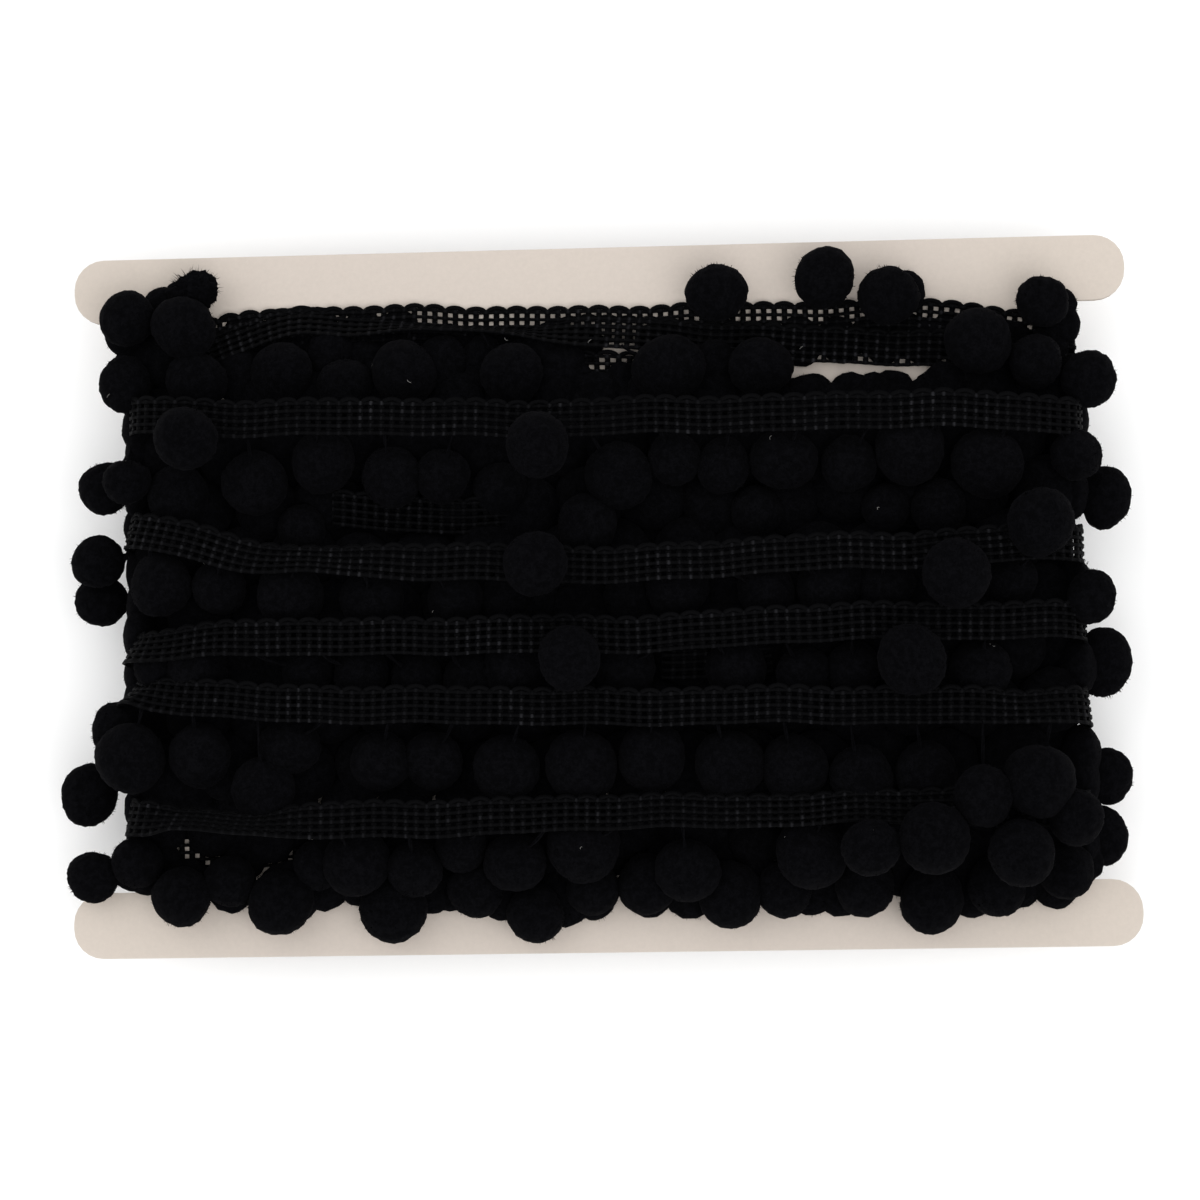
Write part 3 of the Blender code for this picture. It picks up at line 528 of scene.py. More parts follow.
class Heap:
    """Points and faces of many small forms that become one mesh."""

    def __init__(self):
        self.points = []
        self.relief = []
        self.faces = defaultdict(list)
        self.count = 0

    def add(self, points, *blocks, relief=0.5):
        """Adds points, faces that count them from 0, and each point's share of painted highlight, from 0 to
        1.
        """
        for block in blocks:
            self.faces[block.shape[1]].append(block + self.count)
        self.points.append(points)
        self.relief.append(np.broadcast_to(relief, len(points)))
        self.count += len(points)

    def build(self, name, material):
        blocks = [np.concatenate(blocks) for blocks in self.faces.values()]
        piece = mesh_piece(name, np.concatenate(self.points), blocks, material)
        layer = piece.data.attributes.new("relief", "FLOAT", "POINT")
        layer.data.foreach_set("value", np.concatenate(self.relief).astype(np.float32))
        return piece


SIDES = 4  # of a strand's cross section


def add_strands(heap, lines, first, second, radii, flat=1.0, relief=0.5):
    """Closed tubes along lines of shape (strands, points, 3), with directions across and radii at each."""
    strands, count = lines.shape[:2]
    turn = 2 * math.pi * (np.arange(SIDES) + 0.5) / SIDES
    across = np.cos(turn)[None, None, :, None] * first[:, :, None, :]
    up = flat * np.sin(turn)[None, None, :, None] * second[:, :, None, :]
    points = lines[:, :, None, :] + radii[:, :, None, None] * (across + up)
    ring = np.arange(SIDES)
    after = (ring + 1) % SIDES
    row = np.arange(count - 1)[:, None] * SIDES
    far = row + SIDES
    sides = np.stack([row + ring, row + after, far + after, far + ring], axis=-1).reshape(-1, 4)
    ends = np.array([ring[::-1], ring + (count - 1) * SIDES])
    faces = np.concatenate([sides, ends])
    shift = np.arange(strands)[:, None, None] * count * SIDES
    level = np.repeat(np.broadcast_to(relief, (strands, count)), SIDES)
    heap.add(points.reshape(-1, 3), (faces[None] + shift).reshape(-1, 4), relief=level)


def lay_in_frame(piece, node):
    """The piece is shown in place of a solid."""
    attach(piece, "root")
    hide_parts(node)


def unit(vectors):
    return vectors / np.maximum(np.linalg.norm(vectors, axis=-1, keepdims=True), TINY)


# ---------------------------------------------------------------- materials


def linear(code):
    """The linear colour of an sRGB hex code."""
    parts = [int(code[k : k + 2], 16) / 255 for k in (1, 3, 5)]
    return tuple(c / 12.92 if c <= 0.04045 else ((c + 0.055) / 1.055) ** 2.4 for c in parts)


def per_metre(size_mm):
    """A pattern's scale from the size of one repeat in millimetres."""
    return 1 / (size_mm * MM)


def add_node(tree, kind, inputs=None, **settings):
    """Adds a node, with its settings, and its inputs as values or as links from other nodes' outputs."""
    node = tree.nodes.new(kind)
    for name, value in settings.items():
        setattr(node, name, value)
    for socket, value in (inputs or {}).items():
        if isinstance(value, bpy.types.NodeSocket):
            tree.links.new(value, node.inputs[socket])
        else:
            node.inputs[socket].default_value = value
    return node


def new_material(name):
    """A material, its nodes, its shader and the place of each point on the object."""
    material = bpy.data.materials.new(name)
    material.use_nodes = True
    tree = material.node_tree
    place = add_node(tree, "ShaderNodeTexCoord").outputs["Object"]
    return material, tree, tree.nodes["Principled BSDF"], place


def noise(tree, place, size_mm, detail=2.0, roughness=0.5):
    settings = {"Vector": place, "Scale": per_metre(size_mm), "Detail": detail, "Roughness": roughness}
    return add_node(tree, "ShaderNodeTexNoise", settings).outputs["Fac"]


def maths(tree, operation, *values):
    return add_node(tree, "ShaderNodeMath", dict(enumerate(values)), operation=operation).outputs[0]


def mix_colours(tree, share, low, high):
    mix = add_node(tree, "ShaderNodeMix", data_type="RGBA")
    tree.links.new(share, mix.inputs["Factor"])
    for socket, colour in ((mix.inputs[6], low), (mix.inputs[7], high)):
        if isinstance(colour, bpy.types.NodeSocket):
            tree.links.new(colour, socket)
        else:
            socket.default_value = (*colour, 1.0)
    return mix.outputs[2]


def map_range(tree, value, limits, result=(0.0, 1.0), kind="LINEAR"):
    """The value with its limits moved to those of the result."""
    names = ("From Min", "From Max", "To Min", "To Max")
    inputs = {"Value": value, **dict(zip(names, (*limits, *result)))}
    return add_node(tree, "ShaderNodeMapRange", inputs, interpolation_type=kind).outputs["Result"]


def spread_out(tree, value, low, high):
    """The value stretched so that low becomes 0 and high becomes 1, eased at both."""
    return map_range(tree, value, (low, high), kind="SMOOTHSTEP")


def set_finish(shader, roughness=None, specular=None, sheen=None, sheen_roughness=None):
    """Sets constant values on the shader's own sockets."""
    values = {
        "Roughness": roughness,
        "Specular IOR Level": specular,
        "Sheen Weight": sheen,
        "Sheen Roughness": sheen_roughness,
    }
    for name, value in values.items():
        if value is not None:
            shader.inputs[name].default_value = value


def add_bump(tree, shader, height, strength, depth_mm):
    inputs = {"Height": height, "Strength": strength, "Distance": depth_mm * MM}
    bump = add_node(tree, "ShaderNodeBump", inputs)
    tree.links.new(bump.outputs["Normal"], shader.inputs["Normal"])


def brushed_acrylic_yarn(colours):
    """Cut and brushed acrylic yarn: matt, very dark, with a faint halo where its fibre ends catch light."""
    material, tree, shader, place = new_material("brushed_acrylic_yarn")
    tufts = noise(tree, place, 1.8, 2.0, 0.6)
    # Single fibre ends are near 0.02 mm, so they are drawn coarser, as specks of 0.7 mm.
    fibres = noise(tree, place, 0.7, 3.0, 0.7)
    both = maths(tree, "MULTIPLY", tufts, fibres)
    base = mix_colours(tree, spread_out(tree, both, 0.14, 0.38), colours.pompom_deep, colours.pompom_tips)
    tree.links.new(base, shader.inputs["Base Color"])
    set_finish(shader, roughness=0.95, specular=0.02, sheen=0.014, sheen_roughness=0.55)
    shader.inputs["Sheen Tint"].default_value = (*linear("#8A8690"), 1.0)
    add_bump(tree, shader, both, 0.8, 0.5)
    return material


def knitted_polyester_yarn(colours):
    """Warp knitted polyester yarn: almost black between the stitches, with a soft glint painted into the base
    colour on each stitch, brighter in random patches.
    """
    material, tree, shader, place = new_material("knitted_polyester_yarn")
    # Painted highlight: a point attribute from the knit lightens the base colour on the tops of the stitches,
    # and leaves the tape's own near-black in the pits and bars.
    relief = add_node(tree, "ShaderNodeAttribute", attribute_name="relief").outputs["Fac"]
    bright_patches = spread_out(tree, noise(tree, place, 16.0, 4.0, 0.7), 0.45, 0.7)
    # The plies of the yarn are near 0.15 mm wide, so they are drawn coarser, at 0.8 mm.
    plies = noise(tree, place, 0.8, 2.0, 0.65)
    # The painted highlight colour is brighter in random patches of about 16 mm.
    top = mix_colours(tree, bright_patches, colours.tape_glint, colours.bright_glint_and_lint_grey)
    share = spread_out(tree, maths(tree, "MULTIPLY_ADD", plies, 0.5, relief), 0.7, 1.3)
    tree.links.new(mix_colours(tree, share, colours.tape_deep, top), shader.inputs["Base Color"])
    tree.links.new(map_range(tree, plies, (0.0, 1.0), (0.45, 0.7)), shader.inputs["Roughness"])
    set_finish(shader, specular=0.02, sheen=0.004, sheen_roughness=0.4)
    add_bump(tree, shader, plies, 0.6, 0.25)
    return material


def pale_lint(colours):
    """Stray cotton lint: pale and matt, so that the blackest yarn shows what has stuck to it."""
    material, tree, shader, place = new_material("pale_lint")
    base = mix_colours(tree, noise(tree, place, 1.5), colours.bright_glint_and_lint_grey, colours.lint)
    tree.links.new(base, shader.inputs["Base Color"])
    set_finish(shader, roughness=0.9)
    return material


def grey_white_board(colours):
    """Uncoated pulp board: a warm off-white face with a faint fibre mottle, and a browner cut edge."""
    material, tree, shader, place = new_material("grey_white_board")
    # Pulp fibres are 1 to 3 mm long and 0.03 mm wide, so they are drawn coarser, as flecks of 1.1 mm.
    flecks = noise(tree, place, 1.1, 4.0, 0.7)
    clouds = noise(tree, place, 46.0, 3.0, 0.55)
    # Painted light: towards the ears the card is tinted to match how light falls there, a touch paler than
    # the middle.
    far = add_node(tree, "ShaderNodeSeparateXYZ", {0: place}).outputs["X"]
    painted_ear_light = spread_out(tree, maths(tree, "ABSOLUTE", far), PAINTED_LIGHT_START * MM, CARD_LENGTH / 2 * MM)
    patchy = spread_out(tree, maths(tree, "ADD", painted_ear_light, clouds), 0.45, 1.45)
    face = mix_colours(tree, patchy, colours.board_face, colours.ear_light_and_edge_ply)
    light = {0: face, "Scale": map_range(tree, flecks, (0.3, 0.7), (1.03, 0.97))}
    mottled = add_node(tree, "ShaderNodeVectorMath", light, operation="SCALE").outputs["Vector"]
    # The cut edge, where the surface doesn't face up or down, shows thin layers of browner recycled pulp.
    turned = add_node(tree, "ShaderNodeTexCoord").outputs["Normal"]
    facing = add_node(tree, "ShaderNodeSeparateXYZ", {0: turned}).outputs["Z"]
    flatness = spread_out(tree, maths(tree, "ABSOLUTE", facing), 0.4, 0.8)
    along_board = {"Vector": place, "Scale": (0.1, 0.1, 1.0)}
    squeezed = add_node(tree, "ShaderNodeMapping", along_board).outputs["Vector"]
    layers = spread_out(tree, noise(tree, squeezed, 0.5, 3.0), 0.35, 0.65)
    edge = mix_colours(tree, layers, colours.board_edge, colours.ear_light_and_edge_ply)
    tree.links.new(mix_colours(tree, flatness, edge, mottled), shader.inputs["Base Color"])
    set_finish(shader, roughness=0.82, specular=0.35)
    add_bump(tree, shader, flecks, 0.25, 0.08)
    return material


def matt_paper_backdrop(colours):
    """Seamless white paper: matt and even."""
    material, _, shader, _ = new_material("matt_paper_backdrop")
    shader.inputs["Base Color"].default_value = (*colours.floor, 1.0)
    set_finish(shader, roughness=0.9, specular=0.2)
    return material


MATERIALS = {}


def finish_of(maker):
    """One material of each kind, made when it is first asked for."""
    if maker.__name__ not in MATERIALS:
        MATERIALS[maker.__name__] = maker(bpy.context.scene.fringe_colours)
    return MATERIALS[maker.__name__]


# ---------------------------------------------------------------- settings


def length(name, description, size_mm):
    return FloatProperty(name=name, description=description, default=size_mm * MM, unit="LENGTH", precision=5)


def angle(name, description, degrees):
    return FloatProperty(name=name, description=description, default=math.radians(degrees), subtype="ANGLE")


def colour(name, description, code):
    return FloatVectorProperty(
        name=name, description=description, subtype="COLOR", default=linear(code), min=0.0, max=1.0
    )


class FringeColours(bpy.types.PropertyGroup):
    """Colours of the yarn, the board and the floor."""

    pompom_deep: colour("Pompom depth", "Colour between the tufts of a pompom", "#030304")
    pompom_tips: colour("Pompom tips", "Colour of the brushed fibre ends", "#070709")
    tape_deep: colour("Tape", "Colour of the tape between its stitches", "#050506")
    # Painted highlight colour on the tops of the stitches.
    tape_glint: colour("Stitches", "Colour of the tops of the stitches", "#101012")
    # Brighter painted highlight on the stitches in random patches; also the grey that the lint is mottled
    # with.
    bright_glint_and_lint_grey: colour("Stitches, worn", "Colour of the stitches where they are rubbed", "#262629")
    lint: colour("Lint", "Colour of the lint on the yarn", "#8E8C88")
    board_face: colour("Card face", "Colour of the card", "#C0B6AD")
    # Painted light: the card's colour towards the ears, set for how light falls there; also the paler plies
    # of the cut edge.
    ear_light_and_edge_ply: colour("Card shade", "Colour of the card where it is handled", "#C1B7AD")
    board_edge: colour("Card edge", "Colour of the card's cut edge", "#A3968A")
    floor: colour("Floor", "Colour of the paper under the object", "#FAFAFA")


class TapeSizes(bpy.types.PropertyGroup):
    """Sizes of the knitted tape."""

    mesh_pitch: length("Mesh pitch", "From one stitch to the next along the tape", 2.6)
    row_pitch: length("Row pitch", "From one chain of stitches to the next", 1.86)
    chain_radius: length("Chain radius", "Radius of a chain between its stitches", 0.5)
    stitch_radius: length("Stitch radius", "Radius of a chain at a stitch", 0.7)
    bar_radius: length("Bar radius", "Radius of the laid yarn from chain to chain", 1.0)
    scallop_radius: length("Scallop radius", "Radius of the yarn of a scallop", 0.74)
    scallop_rise: length("Scallop rise", "How far the scallops stand over the upper chain", 1.15)
    rows: IntProperty(name="Rows", description="Chains of stitches across the tape", default=5, min=2, max=9)


class PompomSizes(bpy.types.PropertyGroup):
    """Sizes of the pompoms' fluff."""

    tuft_rise: length("Tuft rise", "How uneven the cut ends are", 0.2)
    fibre_out: length("Fibre reach", "How far the longest fibres stand out", 0.65)
    fibre_radius: length("Fibre radius", "Radius of a tapered lock at its root", 0.11)
    neck_radius: length("Neck radius", "Radius of the yarn that a pompom hangs by", 0.3)
    fibres: IntProperty(name="Fibres", description="Fibre locks on one pompom", default=240, min=0, max=2000)


class StageSizes(bpy.types.PropertyGroup):
    """Where the camera stands, and the size of the floor."""

    lens: FloatProperty(name="Lens", description="Focal length in millimetres on a 36 mm frame", default=90.0)
    distance: length("Distance", "From the camera to the middle of the card's face", 754.7)
    azimuth: angle("Azimuth", "Side that the camera leans to", 33.164)
    elevation: angle("Elevation", "Height of the camera", 84.085)
    spin: angle("Spin", "Turn of the camera about its axis", -34.135)
    floor: length("Floor size", "Side of the square floor", 4000.0)


# ---------------------------------------------------------------- tape


class StretchPath:
    """The middle line of a short stretch of tape that lies flat, through a few points."""

    STEPS = 60
    NEAR = 2.0

    def __init__(self, marks):
        marks = np.array(marks, float)
        reach = np.linspace(0, len(marks) - 1, self.STEPS)
        knots = np.arange(len(marks))
        self.line = np.stack([smooth_between(reach, knots, marks[:, k]) for k in range(3)], axis=-1)
        self.s = np.concatenate([[0.0], np.cumsum(np.linalg.norm(np.diff(self.line, axis=0), axis=1))])
        self.length = self.s[-1]

    def point(self, s):
        return np.stack([np.interp(s, self.s, self.line[:, k]) for k in range(3)], axis=-1)

    def frame(self, s):
        before, after = np.maximum(s - self.NEAR, 0.0), np.minimum(s + self.NEAR, self.length)
        along = unit(self.point(after) - self.point(before))
        through = np.broadcast_to(UP, along.shape)
        return self.point(s), along, np.cross(through, along), through

    def front_at(self, x):
        return float(np.interp(x, self.line[:, 0], self.s))


class Tape:
    """Places on a tape by length along it, across it and out of it, with its rolls and its unevenness."""

    SWAYS = ((23.0, 0.16, 0.10), (41.0, 0.22, 0.16), (67.0, 0.24, 0.22))  # wavelength, across, out
    EASE = 0.2  # share of the rolled length over which the tape lies flat again past its ends

    def __init__(self, path, rolls, number):
        self.path = path
        places = [path.front_at(x) for x, _ in rolls]
        ease = self.EASE * max(places[-1] - places[0], 1.0)
        self.knots = np.array([places[0] - ease, *places, places[-1] + ease])
        self.roll = np.radians([0.0, *(turn for _, turn in rolls), 0.0])
        self.rng = np.random.default_rng(SEED + number)
        self.phase = self.rng.uniform(0, 2 * math.pi, (len(self.SWAYS), 2))

    def frame(self, s):
        """Middle, and the directions along the rolled tape, across it and out of it."""
        middle, along, wide, through = self.path.frame(s)
        sway, heave = np.zeros_like(s), np.zeros_like(s)
        for (wave, by, rise), (one, two) in zip(self.SWAYS, self.phase):
            sway = sway + by * np.sin(2 * math.pi * s / wave + one)
            heave = heave + rise * np.sin(2 * math.pi * s / wave + two)
        middle = middle + sway[..., None] * wide + heave[..., None] * through
        roll = smooth_between(s, self.knots, self.roll)[..., None]
        # The upper edge tips towards the card on a turn, and away from it on a short stretch.
        turned = np.cos(roll) * wide + np.sin(roll) * through
        return middle, along, turned, np.cross(along, turned)

    def place(self, s, across):
        middle, _, wide, _ = self.frame(s)
        return middle + np.asarray(across)[..., None] * wide


# How the yarns of the knit lie: how far a stitch stands out of the tape, how deep the bars lie under the
# chains, and how flat each is.
STITCH_OUT = 0.18
BAR_DEEP = 0.12
CHAIN_FLAT = 0.7
BAR_FLAT = 0.3
# How much painted highlight the tape's colour gets on each, from 0 to 1.
STITCH_PAINTED_GLINT = (0.62, 1.0)
BAR_PAINTED_GLINT = 0.15
SCALLOP_PAINTED_GLINT = 0.3
CHAIN_STEPS = 3  # from one stitch to the next
SCALLOP_STEPS = 7
SCALLOP_SQUARE = 0.6  # power of the arch, lower for a squarer one


def add_knit(heap, tape, start, end, sizes):
    """The openwork of a tape: chains of stitches, bars between them and scallops along the upper edge."""
    cells = max(2, int((end - start) * MM / sizes.mesh_pitch))
    pitch = (end - start) / cells
    row, scallop_rise = sizes.row_pitch / MM, sizes.scallop_rise / MM
    # The chains lie below the middle, to leave room for the scallops.
    offsets = (np.arange(sizes.rows) - (sizes.rows - 1) / 2) * row - scallop_rise / 3
    # Chains, thick and high at each stitch.
    s = np.linspace(start, end, CHAIN_STEPS * cells + 1)
    middle, _, wide, out = tape.frame(s)
    beat = 0.5 + 0.5 * np.cos(2 * math.pi * (s - start) / pitch)
    radius = (sizes.chain_radius + (sizes.stitch_radius - sizes.chain_radius) * beat) / MM
    shape = (sizes.rows, len(s), 3)
    lines = middle + offsets[:, None, None] * wide + (STITCH_OUT * beat)[None, :, None] * out
    wide, out = np.broadcast_to(wide, shape), np.broadcast_to(out, shape)
    # Each stitch gets a stronger or weaker painted highlight than the next.
    stitch_glint = np.repeat(tape.rng.uniform(*STITCH_PAINTED_GLINT, (sizes.rows, cells + 1)), CHAIN_STEPS, axis=1)[:, 1:-1]
    thick = np.broadcast_to(radius, shape[:2])
    add_strands(heap, lines, wide, out, thick, flat=CHAIN_FLAT, relief=beat * stitch_glint)
    # Bars at each stitch, from chain to chain.
    s = np.linspace(start, end, cells + 1)[1:-1]
    middle, along, wide, out = (part[:, None] for part in tape.frame(s))
    for below, above in zip(offsets, offsets[1:]):
        across = np.array([below, above])[None, :, None]
        lines = middle + across * wide - BAR_DEEP * out
        backward, outward = np.broadcast_to(-along, lines.shape), np.broadcast_to(out, lines.shape)
        thick = np.full(lines.shape[:2], sizes.bar_radius / MM)
        add_strands(heap, lines, backward, outward, thick, flat=BAR_FLAT, relief=BAR_PAINTED_GLINT)
    # Scallops, each over two holes.
    arch = np.linspace(0, 1, SCALLOP_STEPS)
    feet = start + 2 * pitch * (np.arange(cells // 2) + 0.5)
    s = feet[:, None] + (arch[None] - 0.5) * 2.0 * pitch
    rise = np.sin(math.pi * arch) ** SCALLOP_SQUARE
    lines = tape.place(s, np.broadcast_to(offsets[-1] + scallop_rise * rise, s.shape))
    forward = unit(np.gradient(lines, axis=1))
    out = tape.frame(s)[3]
    thick = np.full(s.shape, sizes.scallop_radius / MM)
    across = unit(np.cross(out, forward))
    add_strands(heap, lines, across, out, thick, flat=CHAIN_FLAT, relief=SCALLOP_PAINTED_GLINT * rise)


class FRINGE_OT_tapes(bpy.types.Operator):
    """Knits the openwork tape of each turn along its loop round the card"""

    bl_idname = "fringe.tapes"
    bl_label = "Knitted tapes"

    def execute(self, context):
        for number, (turn, path) in enumerate(zip(TURNS, Layout.get().paths)):
            heap = Heap()
            tape = Tape(path, ROLLS.get(turn.name, FLAT), number)
            add_knit(heap, tape, GAP / 2, path.length - GAP / 2, context.scene.fringe_tape)
            lay_in_frame(heap.build(f"{turn.name}_tape", finish_of(knitted_polyester_yarn)), turn.name)
        return {"FINISHED"}


# ---------------------------------------------------------------- pompoms


def round_form(subdivisions):
    """Points and faces of a unit ball."""
    bm = bmesh.new()
    bmesh.ops.create_icosphere(bm, subdivisions=subdivisions, radius=1.0)
    points = np.array([v.co for v in bm.verts])
    faces = np.array([[v.index for v in face.verts] for face in bm.faces])
    bm.free()
    return points, faces


def random_turn(rng):
    """A random rotation as a matrix."""
    turn, _ = np.linalg.qr(rng.normal(size=(3, 3)))
    return turn * np.sign(np.linalg.det(turn))


SPIKE_FACES = np.array([[0, 2, 1], [0, 1, 3], [1, 2, 3], [2, 0, 3]])

# How a pompom swells and dents: waves over its width, how many of each, and their share of the radius.
SWELLS = (1.7, 2.6, 4.1)
SWELL_COUNT = 3
SWELL_RISE = 0.016
# How its fibres vary: share of the full length, lean over that length, thickness, and how deep they start.
FIBRE_LENGTHS = (0.35, 1.0)
FIBRE_LEAN = 0.8
FIBRE_VARIES = (0.7, 1.3)
FIBRE_ROOT = 0.94
FIBRE_SHORTER = 1.5  # power that makes the short ones more common
FOOT_UNEVEN = 0.02  # of a pompom that is pressed flat


class Ball:
    """One brushed pompom: where it lies, how wide and high it is, and what it is pressed flat against."""

    def __init__(self, spot, radii, floor=None):
        self.spot = np.asarray(spot)
        self.radii = np.asarray(radii)
        self.floor = floor  # height of the surface under it

    def press(self, points, rng):
        if self.floor is not None:
            points[:, 2] = np.maximum(points[:, 2], self.floor + FOOT_UNEVEN * rng.random(len(points)))
        return points


def add_pompom(heap, form, ball, sizes, rng, fibres, ragged=1.0):
    """A lumpy, tufted ball with tapered locks of fibre standing out of it."""
    points, faces = form
    points = points @ random_turn(rng)
    swell = np.zeros(len(points))
    for size in SWELLS:
        for _ in range(SWELL_COUNT):
            heading = unit(rng.normal(size=3))
            swell += SWELL_RISE * ragged * np.sin(size * points @ heading + rng.uniform(0, 2 * math.pi))
    tuft = ragged * sizes.tuft_rise / MM / ball.radii.mean() * rng.uniform(-1, 1, len(points))
    body = points * (1 + swell + tuft)[:, None] * ball.radii
    heading = unit(rng.normal(size=(fibres, 3)))
    side = unit(np.cross(heading, rng.normal(size=(fibres, 3))))
    other = np.cross(heading, side)
    out = ragged * sizes.fibre_out / MM * rng.uniform(*FIBRE_LENGTHS, fibres) ** FIBRE_SHORTER
    root = heading * ball.radii * FIBRE_ROOT
    lean = out * rng.uniform(-FIBRE_LEAN, FIBRE_LEAN, fibres)
    tip = heading * ball.radii + heading * out[:, None] + side * lean[:, None]
    thick = sizes.fibre_radius / MM * rng.uniform(*FIBRE_VARIES, fibres)[:, None]
    ring = [root + thick * (math.cos(a) * side + math.sin(a) * other) for a in np.arange(3) * 2 * math.pi / 3]
    spikes = np.stack([*ring, tip], axis=1).reshape(-1, 3)
    lock_faces = (SPIKE_FACES[None] + 4 * np.arange(fibres)[:, None, None]).reshape(-1, 3)
    heap.add(ball.press(body + ball.spot, rng), faces)
    heap.add(ball.press(spikes + ball.spot, rng), lock_faces)


def add_pressed(heap, form, place, width, tall, sizes, rng, fibres):
    """A pompom of a lower layer, pressed flat on the card."""
    shape = np.array((1.0, 1.0, tall)) * rng.uniform(*PRESSED_VARIES, 3)
    spot = (*place, CARD_FACE + PRESSED_MIDDLE * tall * width / 2)
    ball = Ball(spot, width / 2 * shape, floor=CARD_FACE + PRESSED_FOOT)
    add_pompom(heap, form, ball, sizes, rng, fibres)


NECK_STEPS = 6
NECK_SAG = 0.06  # share of its length
NECK_TWIST = 1.2 * math.pi
NECK_COIL = 0.8  # how far its two ends stand off its middle, over their radius


def add_neck(heap, root, target, along, radius, rng):
    """Two twisted ends of yarn from the tape's edge into the pompom."""
    share = np.linspace(0, 1, NECK_STEPS)[:, None]
    run = target - root
    span = max(np.linalg.norm(run), TINY)
    side = unit(np.cross(run, along + 0.01))  # a little off, in case the neck runs along the tape
    other = unit(np.cross(run, side))
    sag = np.array([0.0, -NECK_SAG * span, 0.0]) * np.sin(math.pi * share)
    phase = rng.uniform(0, 2 * math.pi)
    for end in (0, 1):
        angle = phase + math.pi * end + NECK_TWIST * share
        coil = NECK_COIL * radius * (np.cos(angle) * side + np.sin(angle) * other)
        line = (root + share * run + sag + coil)[None]
        first, second = np.broadcast_to(side, line.shape), np.broadcast_to(other, line.shape)
        add_strands(heap, line, first, second, np.full(line.shape[:2], radius))


# How each turn's side pompoms are pressed: shift inward, shift down, and height over width.
SIDE_SHAPES = {
    "turn_2": ((1.6, 0.0, 1.2), (0.5, 0.0, 1.12)),
    "turn_3": ((1.6, -1.3, 1.05), (1.6, 0.0, 1.05), (0.8, -0.7, 1.37)),
    "turn_4": ((0.2, 0.0, 1.0), (0.2, 0.0, 1.0), (0.0, 2.4, 1.18)),
    "turn_5": ((3.0, 0.0, 1.3),),
    "turn_6": ((-1.0, 1.7, 1.18), (1.6, 0.0, 1.33), (2.6, 0.0, 1.22)),
    "turn_7": ((3.0, 0.0, 1.3),),
    "turn_8": ((1.6, -1.5, 1.1),),
}
SIDE_WIDER = 1.08
SHAPE_VARIES = (0.96, 1.04)
PLUMP = 1.07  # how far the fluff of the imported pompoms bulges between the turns

# One pompom that has come loose: place across and up, its stretch, and how much rougher it is.
FRAYED = (-102.0, 78.5)
FRAYED_SHAPE = (1.2, 0.92, 1.0)
FRAYED_RAGGED = 3.4

NECK_SUNK = 0.8  # share of the radius at which a neck ends inside its pompom
FINE, COARSE = 4, 3  # how often the faces of a pompom are split in four, from twenty
SHEET_WIDE = 10.0  # of the tape with its scallops


class FRINGE_OT_pompoms(bpy.types.Operator):
    """Brushes the pompoms of each turn and hangs them from the tape's edge"""

    bl_idname = "fringe.pompoms"
    bl_label = "Brushed pompoms"

    def execute(self, context):
        sizes = context.scene.fringe_pompom
        tape_sizes = context.scene.fringe_tape
        layout = Layout.get()
        form = round_form(FINE)
        half = (tape_sizes.rows - 1) / 2 * tape_sizes.row_pitch / MM
        for number, turn in enumerate(TURNS):
            rng = np.random.default_rng(SEED * 100 + number)
            tape = Tape(layout.paths[number], ROLLS.get(turn.name, FLAT), number)
            mine = layout.of(number)
            side_shapes = iter(SIDE_SHAPES.get(turn.name, ()))
            heap = Heap()
            for k, station in zip(mine, layout.stations(mine)):
                pompom, spot, radius = layout.pompoms[k], layout.spots[k], layout.radii[k]
                shape = rng.uniform(*SHAPE_VARIES, 3)
                ragged = 1.0
                if pompom.kind == "side":
                    inward, down, tall = next(side_shapes)
                    spot = spot - (np.sign(spot[0]) * inward, down, 0.0)
                    shape *= (SIDE_WIDER, tall, 1.0)
                if pompom.edge > 0 and math.dist(spot[:2], FRAYED) < radius:
                    shape *= FRAYED_SHAPE
                    ragged = FRAYED_RAGGED
                if pompom.kind == "front" and turn.bed == ON_CORE:
                    shape *= PLUMP
                floor = 0.0 if pompom.kind == "back" else None
                ball = Ball(spot, radius * shape * (1.0, 1.0, SQUASH), floor)
                add_pompom(heap, form, ball, sizes, rng, sizes.fibres, ragged)
                s = np.float64(station)
                root = tape.place(s, pompom.edge * half)
                target = spot + NECK_SUNK * radius * unit(root - spot)
                along = tape.frame(s)[1]
                add_neck(heap, root, target, along, sizes.neck_radius / MM, rng)
            piece = heap.build(f"{turn.name}_pompoms", finish_of(brushed_acrylic_yarn))
            lay_in_frame(piece, turn.name)
            tape_piece = bpy.data.objects[f"{turn.name}_tape"]
            flat = (SHEET_WIDE * MM, (layout.paths[number].length - GAP) * MM)
        return {"FINISHED"}


# ---------------------------------------------------------------- inner winding


INNER_ROWS = 7
INNER_COLUMNS = 14
INNER_START = 0.25  # of a column, before the first of a row, and half a column more in every other row
INNER_SHORT = 4.0  # from the winding's sides to the outermost columns
INNER_WANDER = 1.6
INNER_VARIES = (1.0, 1.12)
INNER_WIDER = 1.05
INNER_PRESSED = 0.6  # height of a pompom pressed in the inner winding, over its width
INNER_PROUD = 2.6  # how far it stands over the sleeve

# The sleeve of wound layers under the pompoms.
LAYER_SIDES = 144
LAYER_ROWS = 33
LAYER_SHORT = 1.0  # from the winding's upper and lower ends
LAYER_THIN = 1.2  # how far it stays inside the winding at the sides
LAYER_DEEP = 3.6  # and in front and behind
LAYER_RIB = 0.5

LINT_RADIUS = 0.075
LINT_LONG = (0.5, 1.6)
LINT_BOW = (0.1, 0.4)
LINT_OVER = 0.35  # how far it lies over the pompom under it
LINT_STEPS = 5


